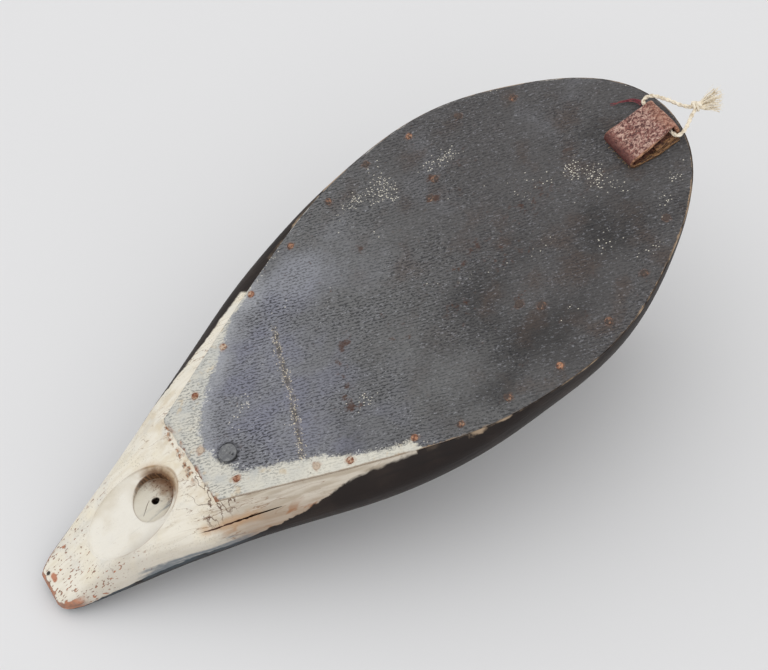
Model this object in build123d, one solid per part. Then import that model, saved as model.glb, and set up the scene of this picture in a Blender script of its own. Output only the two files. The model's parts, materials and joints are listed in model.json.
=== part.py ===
from build123d import *
import os
from collections import namedtuple
from math import asin, atan2, cos, degrees, hypot, pi, radians, sin, sqrt, tan

# Floating duck decoy: a hollow carved hull, closed below by nailed boards under painted canvas.
# It is drawn upright and then laid upside down on its crown and tail tip.
# Upright frame: x runs to the breast from the tail edge of the flat bottom, y to port and z to the deck.
# The flat bottom is z = 0.

# Hull
BOTTOM_LENGTH = 308.0
BOTTOM_WIDTH = 186.0
DECK_HEIGHT = 72.0
TAIL_LENGTH = 100.0
TAIL_RISE = 20.0
TAIL_TIP_WIDTH = 25.0
TAIL_TIP_THICKNESS = 10.0
TAIL_TIP_ROUNDING = 3.5
WALL = 14.0
CAVITY_TAIL_WALL = 33.0
CAVITY_BREAST_WALL = 26.0

# Bottom boards, seated in a rebate
LIP_WIDTH = 8.0
LEDGE_WIDTH = 10.0
BOARD_THICKNESS = 7.0
BOARD_CLEARANCE = 0.3
JOINT_PLACE = 62.5
JOINT_SKEW = 20.0
CLEAT_LENGTH = 66.0
CLEAT_WIDTH = 28.0
CLEAT_THICKNESS = 9.0
CLEAT_NAIL_SPAN = 0.72

# Canvas
CANVAS_THICKNESS = 1.0
CANVAS_INSET = 0.6

# Ballast bar
BALLAST_PLACE = 187.0
BALLAST_LENGTH = 122.0
BALLAST_WIDTH = 28.0
BALLAST_THICKNESS = 8.0
BALLAST_NAIL_SPAN = 0.76
BALLAST_NAIL_STAGGER = 4.2

# Nails and tacks
HOLE_CLEARANCE = 0.05
TACK_SHANK = 1.4
TACK_HEAD = 3.8
TACK_HEAD_HEIGHT = 0.8
TACK_LENGTH = 6.0
TACK_END_INSET = 8.5
NAIL_SHANK = 2.0
NAIL_HEAD = 4.4
NAIL_HEAD_HEIGHT = 0.7
NAIL_LENGTH = 15.0
NAIL_INSET = 14.0
CLOUT_HEAD = 10.8
CLOUT_HEAD_HEIGHT = 1.2
CLOUT_SHANK = 3.0
CLOUT_PLACE = 19.4
CLOUT_OFFSET = 11.2

# Tail scoop, its flat-bottomed pocket and pilot hole
SCOOP_LENGTH = 60.0
SCOOP_WIDTH = 38.5
SCOOP_DEPTH = 4.3
SCOOP_PLACE = 39.5
POCKET_DIAMETER = 25.0
POCKET_PLACE = 27.0
POCKET_FLOOR = 12.5
PILOT_RADIUS = 2.0
PILOT_DEPTH = 18.0

# Drying crack in the port bilge at the tail: its ends along the bottom, width, depth and lean.
# Reach and rise are its place on the bilge, as shares from rim to beam and from keel to beam.
CRACK_START = -12.0
CRACK_END = 42.0
CRACK_WIDTH = 0.8
CRACK_DEPTH = 4.0
CRACK_LEAN = 35.0
CRACK_REACH = 0.55
CRACK_RISE = 0.235

# Neck peg and washer
NECK_PLACE = 205.0
SEAT_DEPTH = 2.0
SEAT_DIAMETER = 50.0
WASHER_DIAMETER = 34.0
WASHER_THICKNESS = 2.5
TENON_SIDE = 16.0
TENON_LENGTH = 30.0
TENON_CLEARANCE = 0.2
SPIGOT_DIAMETER = 14.0
SPIGOT_LENGTH = 25.0
SPIGOT_CLEARANCE = 0.08
PIN_DIAMETER = 3.0
PIN_HEIGHT = 11.0
GROOVE_CLEARANCE = 0.3

# Head
HEAD_PLAY = 0.05
SKULL_LENGTH = 62.0
SKULL_WIDTH = 37.0
SKULL_HEIGHT = 43.0
SKULL_RISE = 25.25
SKULL_BACKSET = 2.0
NECK_LENGTH = 46.0
NECK_WIDTH = 33.0
NECK_TAPER = 4.0
CROWN_FLAT = 2.4
BILL_LENGTH = 26.0
BILL_WIDTH = 19.0
BILL_ROOT_HEIGHT = 17.0
BILL_TIP_HEIGHT = 6.0
EYE_DIAMETER = 6.4
EYE_PLACE = 14.0
EYE_RISE = 5.0

# Leather anchor loop and its nail
# Set-backs run from the breast end of the bottom to the rear fold and to the nail.
STRAP_WIDTH = 24.0
STRAP_THICKNESS = 2.0
STRAP_SETBACK = 36.5
STRAP_LENGTH = 31.5
STRAP_REAR_HEIGHT = 7.0
STRAP_FRONT_HEIGHT = 11.0
STRAP_OFFSET = 6.0
STRAP_FOLD_RADIUS = 2.9
STRAP_NAIL_SETBACK = 25.0
STRAP_NAIL_HEAD = 6.5
STRAP_NAIL_HEAD_HEIGHT = 1.0

# Twine tied through the loop, drawn from the breast end of the bottom
TWINE_DIAMETER = 2.2
KNOT_DIAMETER = 5.6
KNOT_LENGTH = 7.0
KNOT_TURN = 30.0
KNOT_PLACE = (9.6, 13.0, -6.0)

ON_BASE = (Align.CENTER, Align.CENTER, Align.MIN)

Station = namedtuple("Station", "x rim beam beam_z deck keel fullness")

# Lines of the body, tail edge to breast: shares of half width (rim, beam) and of deck height (beam, deck).
# Stations crowd towards the round breast, as the sine of even steps.
BODY_LINES = (
    (0.323, 0.520, 0.200, 0.674),
    (0.496, 0.670, 0.171, 0.771),
    (0.667, 0.820, 0.149, 0.859),
    (0.819, 0.922, 0.128, 0.932),
    (0.938, 0.979, 0.092, 0.979),
    (0.991, 0.995, 0.056, 1.000),
    (1.000, 0.993, 0.035, 0.988),
    (0.956, 0.941, 0.030, 0.955),
    (0.858, 0.839, 0.030, 0.895),
    (0.736, 0.714, 0.030, 0.805),
    (0.608, 0.587, 0.030, 0.688),
    (0.472, 0.455, 0.030, 0.539),
    (0.326, 0.312, 0.030, 0.364),
    (0.166, 0.156, 0.030, 0.182),
    (0.030, 0.028, 0.020, 0.040),
)
# Lines of the tail: share of tail length, and how far its widths have gone from the root's to the tip's.
# The last row rounds off the tip's corners.
TAIL_LINES = (
    (0.0, 0.0),
    (0.2, 0.21),
    (0.4, 0.405),
    (0.6, 0.58),
    (0.8, 0.755),
    (0.9, 0.85),
    (0.96, 0.94),
    (1.0, 1.06),
)

# Hand-driven canvas tacks on each side: share of bottom length, inset from the rim.
PORT_TACKS = (
    (0.052, 11.0),
    (0.171, 6.5),
    (0.221, 5.0),
    (0.326, 7.4),
    (0.398, 6.0),
    (0.484, 8.6),
    (0.580, 8.6),
    (0.686, 9.9),
    (0.781, 9.4),
    (0.869, 11.0),
)
STARBOARD_TACKS = (
    (0.069, 10.8),
    (0.156, 8.8),
    (0.247, 4.6),
    (0.352, 7.5),
    (0.452, 8.2),
    (0.545, 7.0),
    (0.635, 9.0),
    (0.725, 12.0),
    (0.818, 10.4),
)

# Board nails under the canvas, on each side: share of bottom length.
BOARD_NAIL_STATIONS = (0.13, 0.28, 0.43, 0.60, 0.75, 0.885)


def mix(a, b, share):
    return a + (b - a) * share


def seat_level():
    return DECK_HEIGHT - SEAT_DEPTH


def body_stations():
    half = BOTTOM_WIDTH / 2
    steps = len(BODY_LINES) - 1
    return [
        Station(BOTTOM_LENGTH * sin(pi / 2 * i / steps), rim * half, beam * half, rise * DECK_HEIGHT,
                deck * DECK_HEIGHT, 0.0, 0.5)
        for i, (rim, beam, rise, deck) in enumerate(BODY_LINES)
    ]


def tail_stations():
    root = body_stations()[0]
    tip_deck = TAIL_RISE + TAIL_TIP_THICKNESS
    tip_beam_z = mix(TAIL_RISE, tip_deck, 0.5)
    tip_half = TAIL_TIP_WIDTH / 2
    tip = Station(-TAIL_LENGTH, 0.8 * tip_half, tip_half, tip_beam_z, tip_deck, TAIL_RISE, 0.85)
    return [
        Station(
            mix(root.x, tip.x, along),
            mix(root.rim, tip.rim, taper),
            mix(root.beam, tip.beam, taper),
            mix(root.beam_z, tip.beam_z, along),
            mix(root.deck, tip.deck, along),
            mix(root.keel, tip.keel, along),
            mix(root.fullness, tip.fullness, along),
        )
        for along, taper in TAIL_LINES
    ]


def section(s):
    """Closed cross-section at one station: flat keel, flared bilge, domed deck."""
    flare = s.beam - s.rim
    bilge = s.beam_z - s.keel
    dome = s.deck - s.beam_z
    half = [
        (s.rim, s.keel),
        (s.rim + 0.65 * flare, s.keel + 0.15 * bilge),
        (s.beam, s.keel + 0.55 * bilge),
        (s.beam, s.beam_z),
        (s.beam, s.beam_z + 0.42 * dome),
        (s.fullness * s.beam, s.deck),
        (0.0, s.deck),
    ]
    port = [Vector(s.x, y, z) for y, z in half]
    starboard = [Vector(s.x, -y, z) for y, z in reversed(half)]
    return Wire([
        Edge.make_line(starboard[-1], port[0]),
        Edge.make_bezier(*port[0:4]),
        Edge.make_bezier(*port[3:7]),
        Edge.make_bezier(*starboard[0:4]),
        Edge.make_bezier(*starboard[3:7]),
    ])


def skin(stations):
    return Solid.make_loft([section(s) for s in stations])


def hull_skin():
    """Body and tail, each lofted past their crease and trimmed there, so their sides run on smoothly."""
    body = body_stations()
    tail = tail_stations()
    past_tail = [s._replace(keel=0.0) for s in reversed(tail[1:3])]
    past_body = [body[1]._replace(keel=-TAIL_RISE * body[1].x / TAIL_LENGTH)]
    reach = 4 * BOTTOM_LENGTH
    ahead = Box(reach, reach, reach, align=(Align.MIN, Align.CENTER, Align.CENTER))
    behind = Box(reach, reach, reach, align=(Align.MAX, Align.CENTER, Align.CENTER))
    return (skin(past_tail + body) & ahead) + (skin(past_body + tail) & behind)


def rim_outline(inset):
    """Flat face with the outline of the bottom, drawn in from the rim and from the tail edge."""
    rim = Edge.make_spline([Vector(s.x, s.rim) for s in body_stations()])
    steps = 2 * len(BODY_LINES)
    port = []
    for i in range(steps + 1):
        inward = (rim % (i / steps)).rotate(Axis.Z, -90)
        port.append(rim @ (i / steps) + inward * inset)
    starboard = [Vector(p.X, -p.Y) for p in port]
    port.reverse()
    edges = [
        Edge.make_spline(starboard),
        Edge.make_line(starboard[-1], port[0]),
        Edge.make_spline(port),
        Edge.make_line(port[-1], starboard[0]),
    ]
    kept = Pos(inset, 0) * Rectangle(2 * BOTTOM_LENGTH, 2 * BOTTOM_WIDTH, align=(Align.MIN, Align.CENTER))
    return Sketch() + Face(Wire(edges)) & kept


def station_at(x):
    """Lines of the body at one place along the bottom, read between stations."""
    rows = tail_stations()[:0:-1] + body_stations()
    for near, far in zip(rows, rows[1:]):
        if x <= far.x:
            share = (x - near.x) / (far.x - near.x)
            return Station(*(mix(a, b, share) for a, b in zip(near, far)))
    return rows[-1]


def plate(face, low, high):
    return extrude(Pos(0, 0, low) * face, high - low, dir=(0, 0, 1))


def upright(x, y, low, high, diameter):
    """Round bar along z between two levels."""
    return Pos(x, y, low) * Cylinder(diameter / 2, high - low, align=ON_BASE)


def neck_boss():
    return upright(NECK_PLACE, 0, BOARD_THICKNESS + WALL, DECK_HEIGHT, SEAT_DIAMETER)


def cavity():
    """Hollow under the deck, open below, with wood left standing under the neck."""
    steps = 9
    rows = []
    for i in range(steps + 1):
        s = station_at(mix(CAVITY_TAIL_WALL, BOTTOM_LENGTH - CAVITY_BREAST_WALL, i / steps))
        reach = s.rim - LIP_WIDTH - LEDGE_WIDTH
        deck = s.deck - WALL
        rows.append(Station(s.x, reach, reach, mix(BOARD_THICKNESS, deck, 0.3), deck, BOARD_THICKNESS, 0.55))
    return skin(rows) - neck_boss()


def scoop():
    slope = degrees(atan2(TAIL_RISE, TAIL_LENGTH))
    ball = scale(Sphere(1), by=(SCOOP_LENGTH / 2, SCOOP_WIDTH / 2, SCOOP_DEPTH))
    level = TAIL_RISE * SCOOP_PLACE / TAIL_LENGTH
    return Pos(-SCOOP_PLACE, 0, level) * Rot(0, slope, 0) * ball


def tail_pocket():
    pocket = upright(-POCKET_PLACE, 0, 0, POCKET_FLOOR, POCKET_DIAMETER)
    pilot = upright(-POCKET_PLACE, 0, POCKET_FLOOR, POCKET_FLOOR + PILOT_DEPTH, 2 * PILOT_RADIUS)
    return pocket + pilot


def mortise():
    side = TENON_SIDE + 2 * TENON_CLEARANCE
    floor = seat_level() - TENON_LENGTH - TENON_CLEARANCE
    return Pos(NECK_PLACE, 0, floor) * Box(side, side, DECK_HEIGHT, align=ON_BASE)


def bilge_point(x):
    """Point on the port bilge where the crack runs."""
    s = station_at(x)
    return Vector(x, mix(s.rim, s.beam, CRACK_REACH), mix(s.keel, s.beam_z, CRACK_RISE))


def crack():
    """Thin lens that opens the grain along the port bilge."""
    start = bilge_point(CRACK_START)
    run = bilge_point(CRACK_END) - start
    lean = radians(CRACK_LEAN)
    lens = scale(Sphere(1), by=(run.length / 2, CRACK_WIDTH / 2, CRACK_DEPTH))
    return Plane(start + run / 2, x_dir=run, z_dir=(0, sin(lean), -cos(lean))) * lens


def make_hull():
    body = hull_skin()
    body = fillet(body.edges().group_by(Axis.X)[0], TAIL_TIP_ROUNDING)
    seat = upright(NECK_PLACE, 0, seat_level(), DECK_HEIGHT + WALL, SEAT_DIAMETER)
    rebate = plate(rim_outline(LIP_WIDTH), -1, BOARD_THICKNESS)
    return body - cavity() - rebate - seat - mortise() - scoop() - tail_pocket() - crack()


def joint_line(x, width):
    """Block on one side of the skewed joint between the two bottom boards."""
    block = Box(2 * BOTTOM_LENGTH, 2 * BOTTOM_WIDTH, width, align=(Align.MAX, Align.CENTER, Align.CENTER))
    return Pos(x, 0, 0) * Rot(0, 0, JOINT_SKEW) * block


def make_boards():
    board = plate(rim_outline(LIP_WIDTH + BOARD_CLEARANCE), 0, BOARD_THICKNESS)
    split = 4 * BOARD_THICKNESS
    rear = board & joint_line(JOINT_PLACE - BOARD_CLEARANCE / 2, split)
    front = board - joint_line(JOINT_PLACE + BOARD_CLEARANCE / 2, split)
    return rear, front


def make_cleat():
    block = Box(CLEAT_WIDTH, CLEAT_LENGTH, CLEAT_THICKNESS, align=ON_BASE)
    return Pos(JOINT_PLACE, 0, BOARD_THICKNESS) * Rot(0, 0, JOINT_SKEW) * block


def make_ballast():
    bar = Box(BALLAST_WIDTH, BALLAST_LENGTH, BALLAST_THICKNESS, align=ON_BASE)
    bar = fillet(bar.edges().filter_by(Axis.Z), BALLAST_THICKNESS / 2)
    return Pos(BALLAST_PLACE, 0, BOARD_THICKNESS) * bar


def cleat_nail_places():
    across = CLEAT_WIDTH / 4
    along = CLEAT_LENGTH * CLEAT_NAIL_SPAN / 2
    turn = radians(JOINT_SKEW)
    corners = [(i * across, j * along) for i in (-1, 1) for j in (-1, 1)]
    return [(JOINT_PLACE + x * cos(turn) - y * sin(turn), x * sin(turn) + y * cos(turn)) for x, y in corners]


def ballast_nail_places():
    along = BALLAST_LENGTH * BALLAST_NAIL_SPAN / 2
    step = BALLAST_NAIL_STAGGER
    return [(BALLAST_PLACE + i * step, j * (along + i * step)) for i in (-1, 1) for j in (-1, 1)]


def board_nail_places():
    places = [share * BOTTOM_LENGTH for share in BOARD_NAIL_STATIONS]
    return [(x, side * (station_at(x).rim - NAIL_INSET)) for x in places for side in (-1, 1)]


def strap_rear():
    return BOTTOM_LENGTH - STRAP_SETBACK


def strap_nail_place():
    return BOTTOM_LENGTH - STRAP_NAIL_SETBACK, STRAP_OFFSET


def tack_places():
    """Tacks round the canvas edge: one in the middle of the tail end, the rest along the sides."""
    port = [(share * BOTTOM_LENGTH, 1, inset) for share, inset in PORT_TACKS]
    starboard = [(share * BOTTOM_LENGTH, -1, inset) for share, inset in STARBOARD_TACKS]
    sides = [(x, side * (station_at(x).rim - inset)) for x, side, inset in port + starboard]
    return [(TACK_END_INSET, 0.0)] + sides


def fastener(place, top, head, head_height, shank, length):
    """Flat-headed nail driven up from below: head under the level called top."""
    x, y = place
    cap = upright(x, y, top - head_height, top, head)
    cap = fillet(cap.edges().sort_by(Axis.Z)[0], head_height * 0.6)
    return cap + upright(x, y, top, top + length, shank)


def nails(places, top, head, head_height, shank, length):
    return Compound(children=[fastener(p, top, head, head_height, shank, length).solid() for p in places])


def holes(places, shank, length):
    """Clearance holes for nails, from below the canvas up to their points."""
    low = -2 * CANVAS_THICKNESS
    return [upright(x, y, low, length + HOLE_CLEARANCE, shank + 2 * HOLE_CLEARANCE) for x, y in places]


def make_canvas():
    return plate(rim_outline(CANVAS_INSET), -CANVAS_THICKNESS, 0)


def make_peg():
    tenon = Box(TENON_SIDE, TENON_SIDE, TENON_LENGTH, align=ON_BASE)
    tenon = Pos(NECK_PLACE, 0, seat_level() - TENON_LENGTH) * tenon
    tenon = chamfer(tenon.faces().sort_by(Axis.Z)[0].edges(), TENON_SIDE / 12)
    spigot = upright(NECK_PLACE, 0, seat_level(), seat_level() + SPIGOT_LENGTH, SPIGOT_DIAMETER)
    pin_z = seat_level() + PIN_HEIGHT
    half = PIN_DIAMETER / 2 + GROOVE_CLEARANCE
    ring = upright(NECK_PLACE, 0, pin_z - half, pin_z + half, 2 * SPIGOT_DIAMETER)
    core = upright(NECK_PLACE, 0, pin_z - half, pin_z + half, SPIGOT_DIAMETER - 2 * half)
    return tenon + spigot - (ring - core)


def make_washer():
    disc = upright(NECK_PLACE, 0, seat_level(), seat_level() + WASHER_THICKNESS, WASHER_DIAMETER)
    hole = upright(NECK_PLACE, 0, 0, 2 * DECK_HEIGHT, SPIGOT_DIAMETER + 2 * SPIGOT_CLEARANCE)
    return disc - hole


def skull_centre():
    return Vector(NECK_PLACE - SKULL_BACKSET, 0, seat_level() + SKULL_RISE)


def tip_relief(pitch):
    """Distance that the rounding draws the tail tip in from a table plane at that pitch."""
    slope = atan2(body_stations()[0].deck - TAIL_RISE - TAIL_TIP_THICKNESS, TAIL_LENGTH)
    along_deck = cos(pitch) / cos(slope)
    along_end = sin(pitch) - sin(slope) * along_deck
    return TAIL_TIP_ROUNDING * (along_deck + along_end - 1)


def rest_pitch():
    """Angle of the table plane that touches the tail tip's deck edge and the worn crown."""
    centre = skull_centre()
    run = centre.X + TAIL_LENGTH
    rise = centre.Z - TAIL_RISE - TAIL_TIP_THICKNESS
    line = atan2(rise, run)
    pitch = line
    for _ in range(6):
        reach = hypot(SKULL_LENGTH / 2 * sin(pitch), SKULL_HEIGHT / 2 * cos(pitch)) - CROWN_FLAT
        pitch = line + asin((reach + tip_relief(pitch)) / hypot(run, rise))
    return pitch


def head_pin_place():
    return NECK_PLACE + SPIGOT_DIAMETER / 2, seat_level() + PIN_HEIGHT


def head_cross_bar(diameter, length):
    x, z = head_pin_place()
    return Pos(x, 0, z) * Rot(90, 0, 0) * Cylinder(diameter / 2, length)


def bill():
    """Blunt spatulate bill, from inside the face to its tip."""
    centre = skull_centre()
    face_x = centre.X + SKULL_LENGTH / 2
    root_z = centre.Z - SKULL_HEIGHT * 0.14
    saddle_z = root_z - BILL_ROOT_HEIGHT * 0.16
    tip_z = root_z - BILL_ROOT_HEIGHT * 0.2
    rings = (
        (face_x - SKULL_LENGTH * 0.3, root_z, BILL_WIDTH * 0.62, BILL_ROOT_HEIGHT * 0.62),
        (face_x - SKULL_LENGTH * 0.05, root_z, BILL_WIDTH / 2, BILL_ROOT_HEIGHT / 2),
        (face_x + BILL_LENGTH * 0.45, saddle_z, BILL_WIDTH * 0.46, BILL_TIP_HEIGHT * 0.75),
        (face_x + BILL_LENGTH, tip_z, BILL_WIDTH * 0.4, BILL_TIP_HEIGHT * 0.4),
    )
    outlines = []
    for x, z, half_width, half_height in rings:
        upright_plane = Plane((x, 0, z), x_dir=(0, 1, 0), z_dir=(1, 0, 0))
        outlines.append(upright_plane * Ellipse(half_width, half_height))
    return loft(outlines)


def eye_ball(side, clearance):
    centre = skull_centre()
    along = EYE_PLACE / (SKULL_LENGTH / 2)
    rise = EYE_RISE / (SKULL_HEIGHT / 2)
    reach = SKULL_WIDTH / 2 * sqrt(1 - along * along - rise * rise)
    spot = Pos(centre.X + EYE_PLACE, side * (reach - EYE_DIAMETER * 0.25), centre.Z + EYE_RISE)
    return spot * Sphere(EYE_DIAMETER / 2 + clearance)


def make_head():
    centre = skull_centre()
    base = seat_level() + WASHER_THICKNESS + HEAD_PLAY
    skull = Pos(centre) * scale(Sphere(1), by=(SKULL_LENGTH / 2, SKULL_WIDTH / 2, SKULL_HEIGHT / 2))
    neck = extrude(Ellipse(NECK_LENGTH / 2, NECK_WIDTH / 2), centre.Z - base, taper=NECK_TAPER)
    neck = Pos(NECK_PLACE, 0, base) * neck
    head = skull + neck + bill()
    head -= upright(NECK_PLACE, 0, -DECK_HEIGHT, base, 2 * SKULL_LENGTH)
    head -= upright(NECK_PLACE, 0, base - 1, seat_level() + SPIGOT_LENGTH + SPIGOT_CLEARANCE,
                    SPIGOT_DIAMETER + 2 * SPIGOT_CLEARANCE)
    head -= head_cross_bar(PIN_DIAMETER + 2 * HOLE_CLEARANCE, 2 * SKULL_WIDTH)
    for side in (-1, 1):
        head -= eye_ball(side, HOLE_CLEARANCE)
    return head & below_table()


def below_table():
    """Everything on the decoy's side of the plane that its crown is worn flat against."""
    pitch = rest_pitch()
    span = 4 * BOTTOM_LENGTH
    block = Box(span, span, span, align=(Align.CENTER, Align.CENTER, Align.MAX))
    tip = Pos(-TAIL_LENGTH, 0, TAIL_RISE + TAIL_TIP_THICKNESS)
    return tip * Rot(0, -degrees(pitch), 0) * Pos(0, 0, -tip_relief(pitch)) * block


def make_head_pin():
    return head_cross_bar(PIN_DIAMETER, NECK_WIDTH * 0.9)


def strap_profile():
    """Side view of the flattened leather loop, rear fold low and front fold high."""
    rear = strap_rear()
    front = rear + STRAP_LENGTH
    foot = -CANVAS_THICKNESS
    outer = make_face(Polyline(
        (rear, foot),
        (front, foot),
        (front, foot - STRAP_FRONT_HEIGHT),
        (rear, foot - STRAP_REAR_HEIGHT),
        close=True))
    outer = fillet(outer.vertices(), STRAP_FOLD_RADIUS)
    return outer - offset(outer, -STRAP_THICKNESS)


def make_strap():
    start = STRAP_OFFSET + STRAP_WIDTH / 2
    side_view = Plane((0, start, 0), x_dir=(1, 0, 0), z_dir=(0, -1, 0))
    loop = extrude(side_view * strap_profile(), STRAP_WIDTH)
    past = -2 * STRAP_THICKNESS
    hole = upright(*strap_nail_place(), past, 0, NAIL_SHANK + 2 * HOLE_CLEARANCE)
    return loop - hole


def make_strap_nail():
    top = -CANVAS_THICKNESS - STRAP_THICKNESS
    length = NAIL_LENGTH - top
    return fastener(strap_nail_place(), top, STRAP_NAIL_HEAD, STRAP_NAIL_HEAD_HEIGHT, NAIL_SHANK, length)


# Twine's route from the knot, through the loop's front fold and back to the knot.
TWINE_ROUTE = (
    (7.2, 11.4, -6.2),
    (4.0, 7.8, -7.2),
    (2.0, 3.4, -8.2),
    (-0.6, -2.2, -8.5),
    (-3.6, -8.4, -7.6),
    (-8.6, -9.6, -6.4),
    (-9.2, -4.0, -5.9),
    (-8.8, 6.0, -5.7),
    (-9.0, 16.0, -5.9),
    (-8.6, 21.2, -6.3),
    (-3.6, 20.8, -6.5),
    (0.8, 18.2, -6.2),
    (4.6, 15.6, -6.0),
    (7.6, 14.4, -6.1),
)


def corner_radii(points):
    """Largest tangent arc that each pair of neighbouring runs allows."""
    path = [Vector(p) for p in points]
    radii = []
    for before, corner, after in zip(path, path[1:], path[2:]):
        entry = corner - before
        leaving = after - corner
        turn = radians(entry.get_angle(leaving))
        radii.append(0.45 * min(entry.length, leaving.length) / tan(turn / 2))
    return radii


def make_twine():
    radii = corner_radii(TWINE_ROUTE)
    path = FilletPolyline(*TWINE_ROUTE, radius=radii)
    start = Plane(path @ 0, z_dir=path % 0)
    tube = sweep(start * Circle(TWINE_DIAMETER / 2), path=path)
    expected = path.length * Circle(TWINE_DIAMETER / 2).area
    print("twine radii", [round(r, 1) for r in radii], "length", round(path.length, 1))
    print("twine volume over section times length", round(tube.volume / expected, 4))
    return Pos(BOTTOM_LENGTH, 0, 0) * tube


def make_knot():
    ball = scale(Sphere(1), by=(KNOT_LENGTH / 2, KNOT_DIAMETER / 2, KNOT_DIAMETER / 2))
    return Pos(BOTTOM_LENGTH, 0, 0) * Pos(KNOT_PLACE) * Rot(0, 0, KNOT_TURN) * ball


def drill(piece, cutters):
    return piece - cutters


def nail_set(places, face):
    """Nails with the underside of their heads one head height above the level called face."""
    return nails(places, face, NAIL_HEAD, NAIL_HEAD_HEIGHT, NAIL_SHANK, NAIL_LENGTH - face)


def countersinks(places):
    """Room in the boards for nail heads that lie flush under the canvas."""
    width = NAIL_HEAD + 2 * HOLE_CLEARANCE
    return [upright(x, y, -NAIL_HEAD_HEIGHT, NAIL_HEAD_HEIGHT, width) for x, y in places]


def tack_set(places):
    """Canvas tacks, their heads on the canvas."""
    length = TACK_LENGTH + CANVAS_THICKNESS
    return nails(places, -CANVAS_THICKNESS, TACK_HEAD, TACK_HEAD_HEIGHT, TACK_SHANK, length)


def clout(place):
    length = NAIL_LENGTH + CANVAS_THICKNESS
    return nails([place], -CANVAS_THICKNESS, CLOUT_HEAD, CLOUT_HEAD_HEIGHT, CLOUT_SHANK, length)


def make_all():
    rear_board, front_board = make_boards()
    hidden = board_nail_places()
    cleat_set = cleat_nail_places()
    ballast_set = ballast_nail_places()
    clout_place = (CLOUT_PLACE, CLOUT_OFFSET)
    long_holes = holes(hidden + ballast_set + [strap_nail_place()], NAIL_SHANK, NAIL_LENGTH)
    tack_holes = holes(tack_places(), TACK_SHANK, TACK_LENGTH)
    clout_holes = holes([clout_place], CLOUT_SHANK, NAIL_LENGTH)
    cleat_holes = holes(cleat_set, NAIL_SHANK, NAIL_LENGTH)
    hull_holes = long_holes + tack_holes + clout_holes
    board_holes = hull_holes + cleat_holes + countersinks(hidden + cleat_set)
    canvas_holes = holes(ballast_set + [strap_nail_place()], NAIL_SHANK, NAIL_LENGTH)
    canvas_holes += tack_holes + clout_holes
    return {
        "hull": drill(make_hull(), hull_holes),
        "bottom_board_rear": drill(rear_board, board_holes),
        "bottom_board_front": drill(front_board, board_holes),
        "board_cleat": drill(make_cleat(), cleat_holes),
        "ballast_bar": drill(make_ballast(), long_holes),
        "bottom_canvas": drill(make_canvas(), canvas_holes),
        "canvas_tacks": tack_set(tack_places()),
        "board_nails": nail_set(hidden, NAIL_HEAD_HEIGHT),
        "cleat_nails": nail_set(cleat_set, NAIL_HEAD_HEIGHT),
        "ballast_nails": nail_set(ballast_set, -CANVAS_THICKNESS),
        "tail_clout": clout(clout_place),
        "neck_peg": make_peg(),
        "neck_washer": make_washer(),
        "head": make_head(),
        "head_pin": make_head_pin(),
        "eye_port": eye_ball(1, 0),
        "eye_starboard": eye_ball(-1, 0),
        "anchor_loop": make_strap(),
        "loop_nail": make_strap_nail(),
        "tie_twine": make_twine(),
        "twine_knot": make_knot(),
    }


def resting_place(pieces):
    """Location that lays the upright decoy on its crown and tail tip, centred over the origin."""
    turn = Rot(0, -degrees(rest_pitch()), 0) * Rot(180, 0, 0)
    box = (turn * pieces["hull"]).bounding_box()
    lowest = min(box.min.Z, (turn * pieces["head"]).bounding_box().min.Z)
    return Pos(-(box.min.X + box.max.X) / 2, 0, -lowest) * turn


def main():
    os.makedirs("parts", exist_ok=True)
    pieces = make_all()
    place = resting_place(pieces)
    for name, piece in pieces.items():
        export_step(place * piece, os.path.join("parts", name + ".step"))
    print("pitch", round(degrees(rest_pitch()), 9), "place", place.position, place.orientation)


main()
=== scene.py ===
import json
import math
import random

import bmesh
import bpy
import numpy as np
from mathutils import Euler, Matrix, Vector, noise

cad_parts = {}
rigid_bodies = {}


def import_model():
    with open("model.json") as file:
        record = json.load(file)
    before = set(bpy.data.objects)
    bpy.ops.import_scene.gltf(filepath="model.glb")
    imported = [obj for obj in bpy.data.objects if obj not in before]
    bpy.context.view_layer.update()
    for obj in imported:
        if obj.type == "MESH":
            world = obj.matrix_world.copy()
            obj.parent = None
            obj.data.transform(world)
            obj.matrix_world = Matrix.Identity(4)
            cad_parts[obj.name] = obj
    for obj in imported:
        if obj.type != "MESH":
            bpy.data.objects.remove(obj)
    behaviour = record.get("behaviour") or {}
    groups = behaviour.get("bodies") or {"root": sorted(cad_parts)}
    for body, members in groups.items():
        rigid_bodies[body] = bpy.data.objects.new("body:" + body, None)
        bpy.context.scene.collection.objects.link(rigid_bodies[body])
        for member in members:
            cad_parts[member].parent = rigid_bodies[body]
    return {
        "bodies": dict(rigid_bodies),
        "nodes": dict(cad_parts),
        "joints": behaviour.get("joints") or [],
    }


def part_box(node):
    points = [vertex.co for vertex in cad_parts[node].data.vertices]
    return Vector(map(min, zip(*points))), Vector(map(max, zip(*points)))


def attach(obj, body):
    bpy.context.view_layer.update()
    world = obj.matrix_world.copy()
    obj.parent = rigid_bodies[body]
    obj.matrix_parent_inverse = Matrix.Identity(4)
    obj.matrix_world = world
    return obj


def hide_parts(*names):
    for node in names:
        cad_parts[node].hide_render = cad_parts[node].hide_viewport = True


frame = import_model()

bl_info = {
    "name": "Duck decoy",
    "version": (1, 0, 0),
    "blender": (4, 5, 0),
    "location": "View3D > Sidebar > Decoy",
    "description": "Dresses a carved, canvas-bottomed duck decoy that lies on its crown and tail",
    "category": "Object",
}

MM = 0.001
WHOLE_TURN = 2 * math.pi


# ---------------------------------------------------------------- resting place

CANVAS_INSET = 0.6
CANVAS_THICKNESS = 1


def rest_pitch():
    """Lean of the decoy as it lies, read from the way its neck lifts."""
    axis = next(joint for joint in frame["joints"] if joint["name"] == "neck_lift")["axis"]
    return math.atan2(axis[0], -axis[2])


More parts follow.
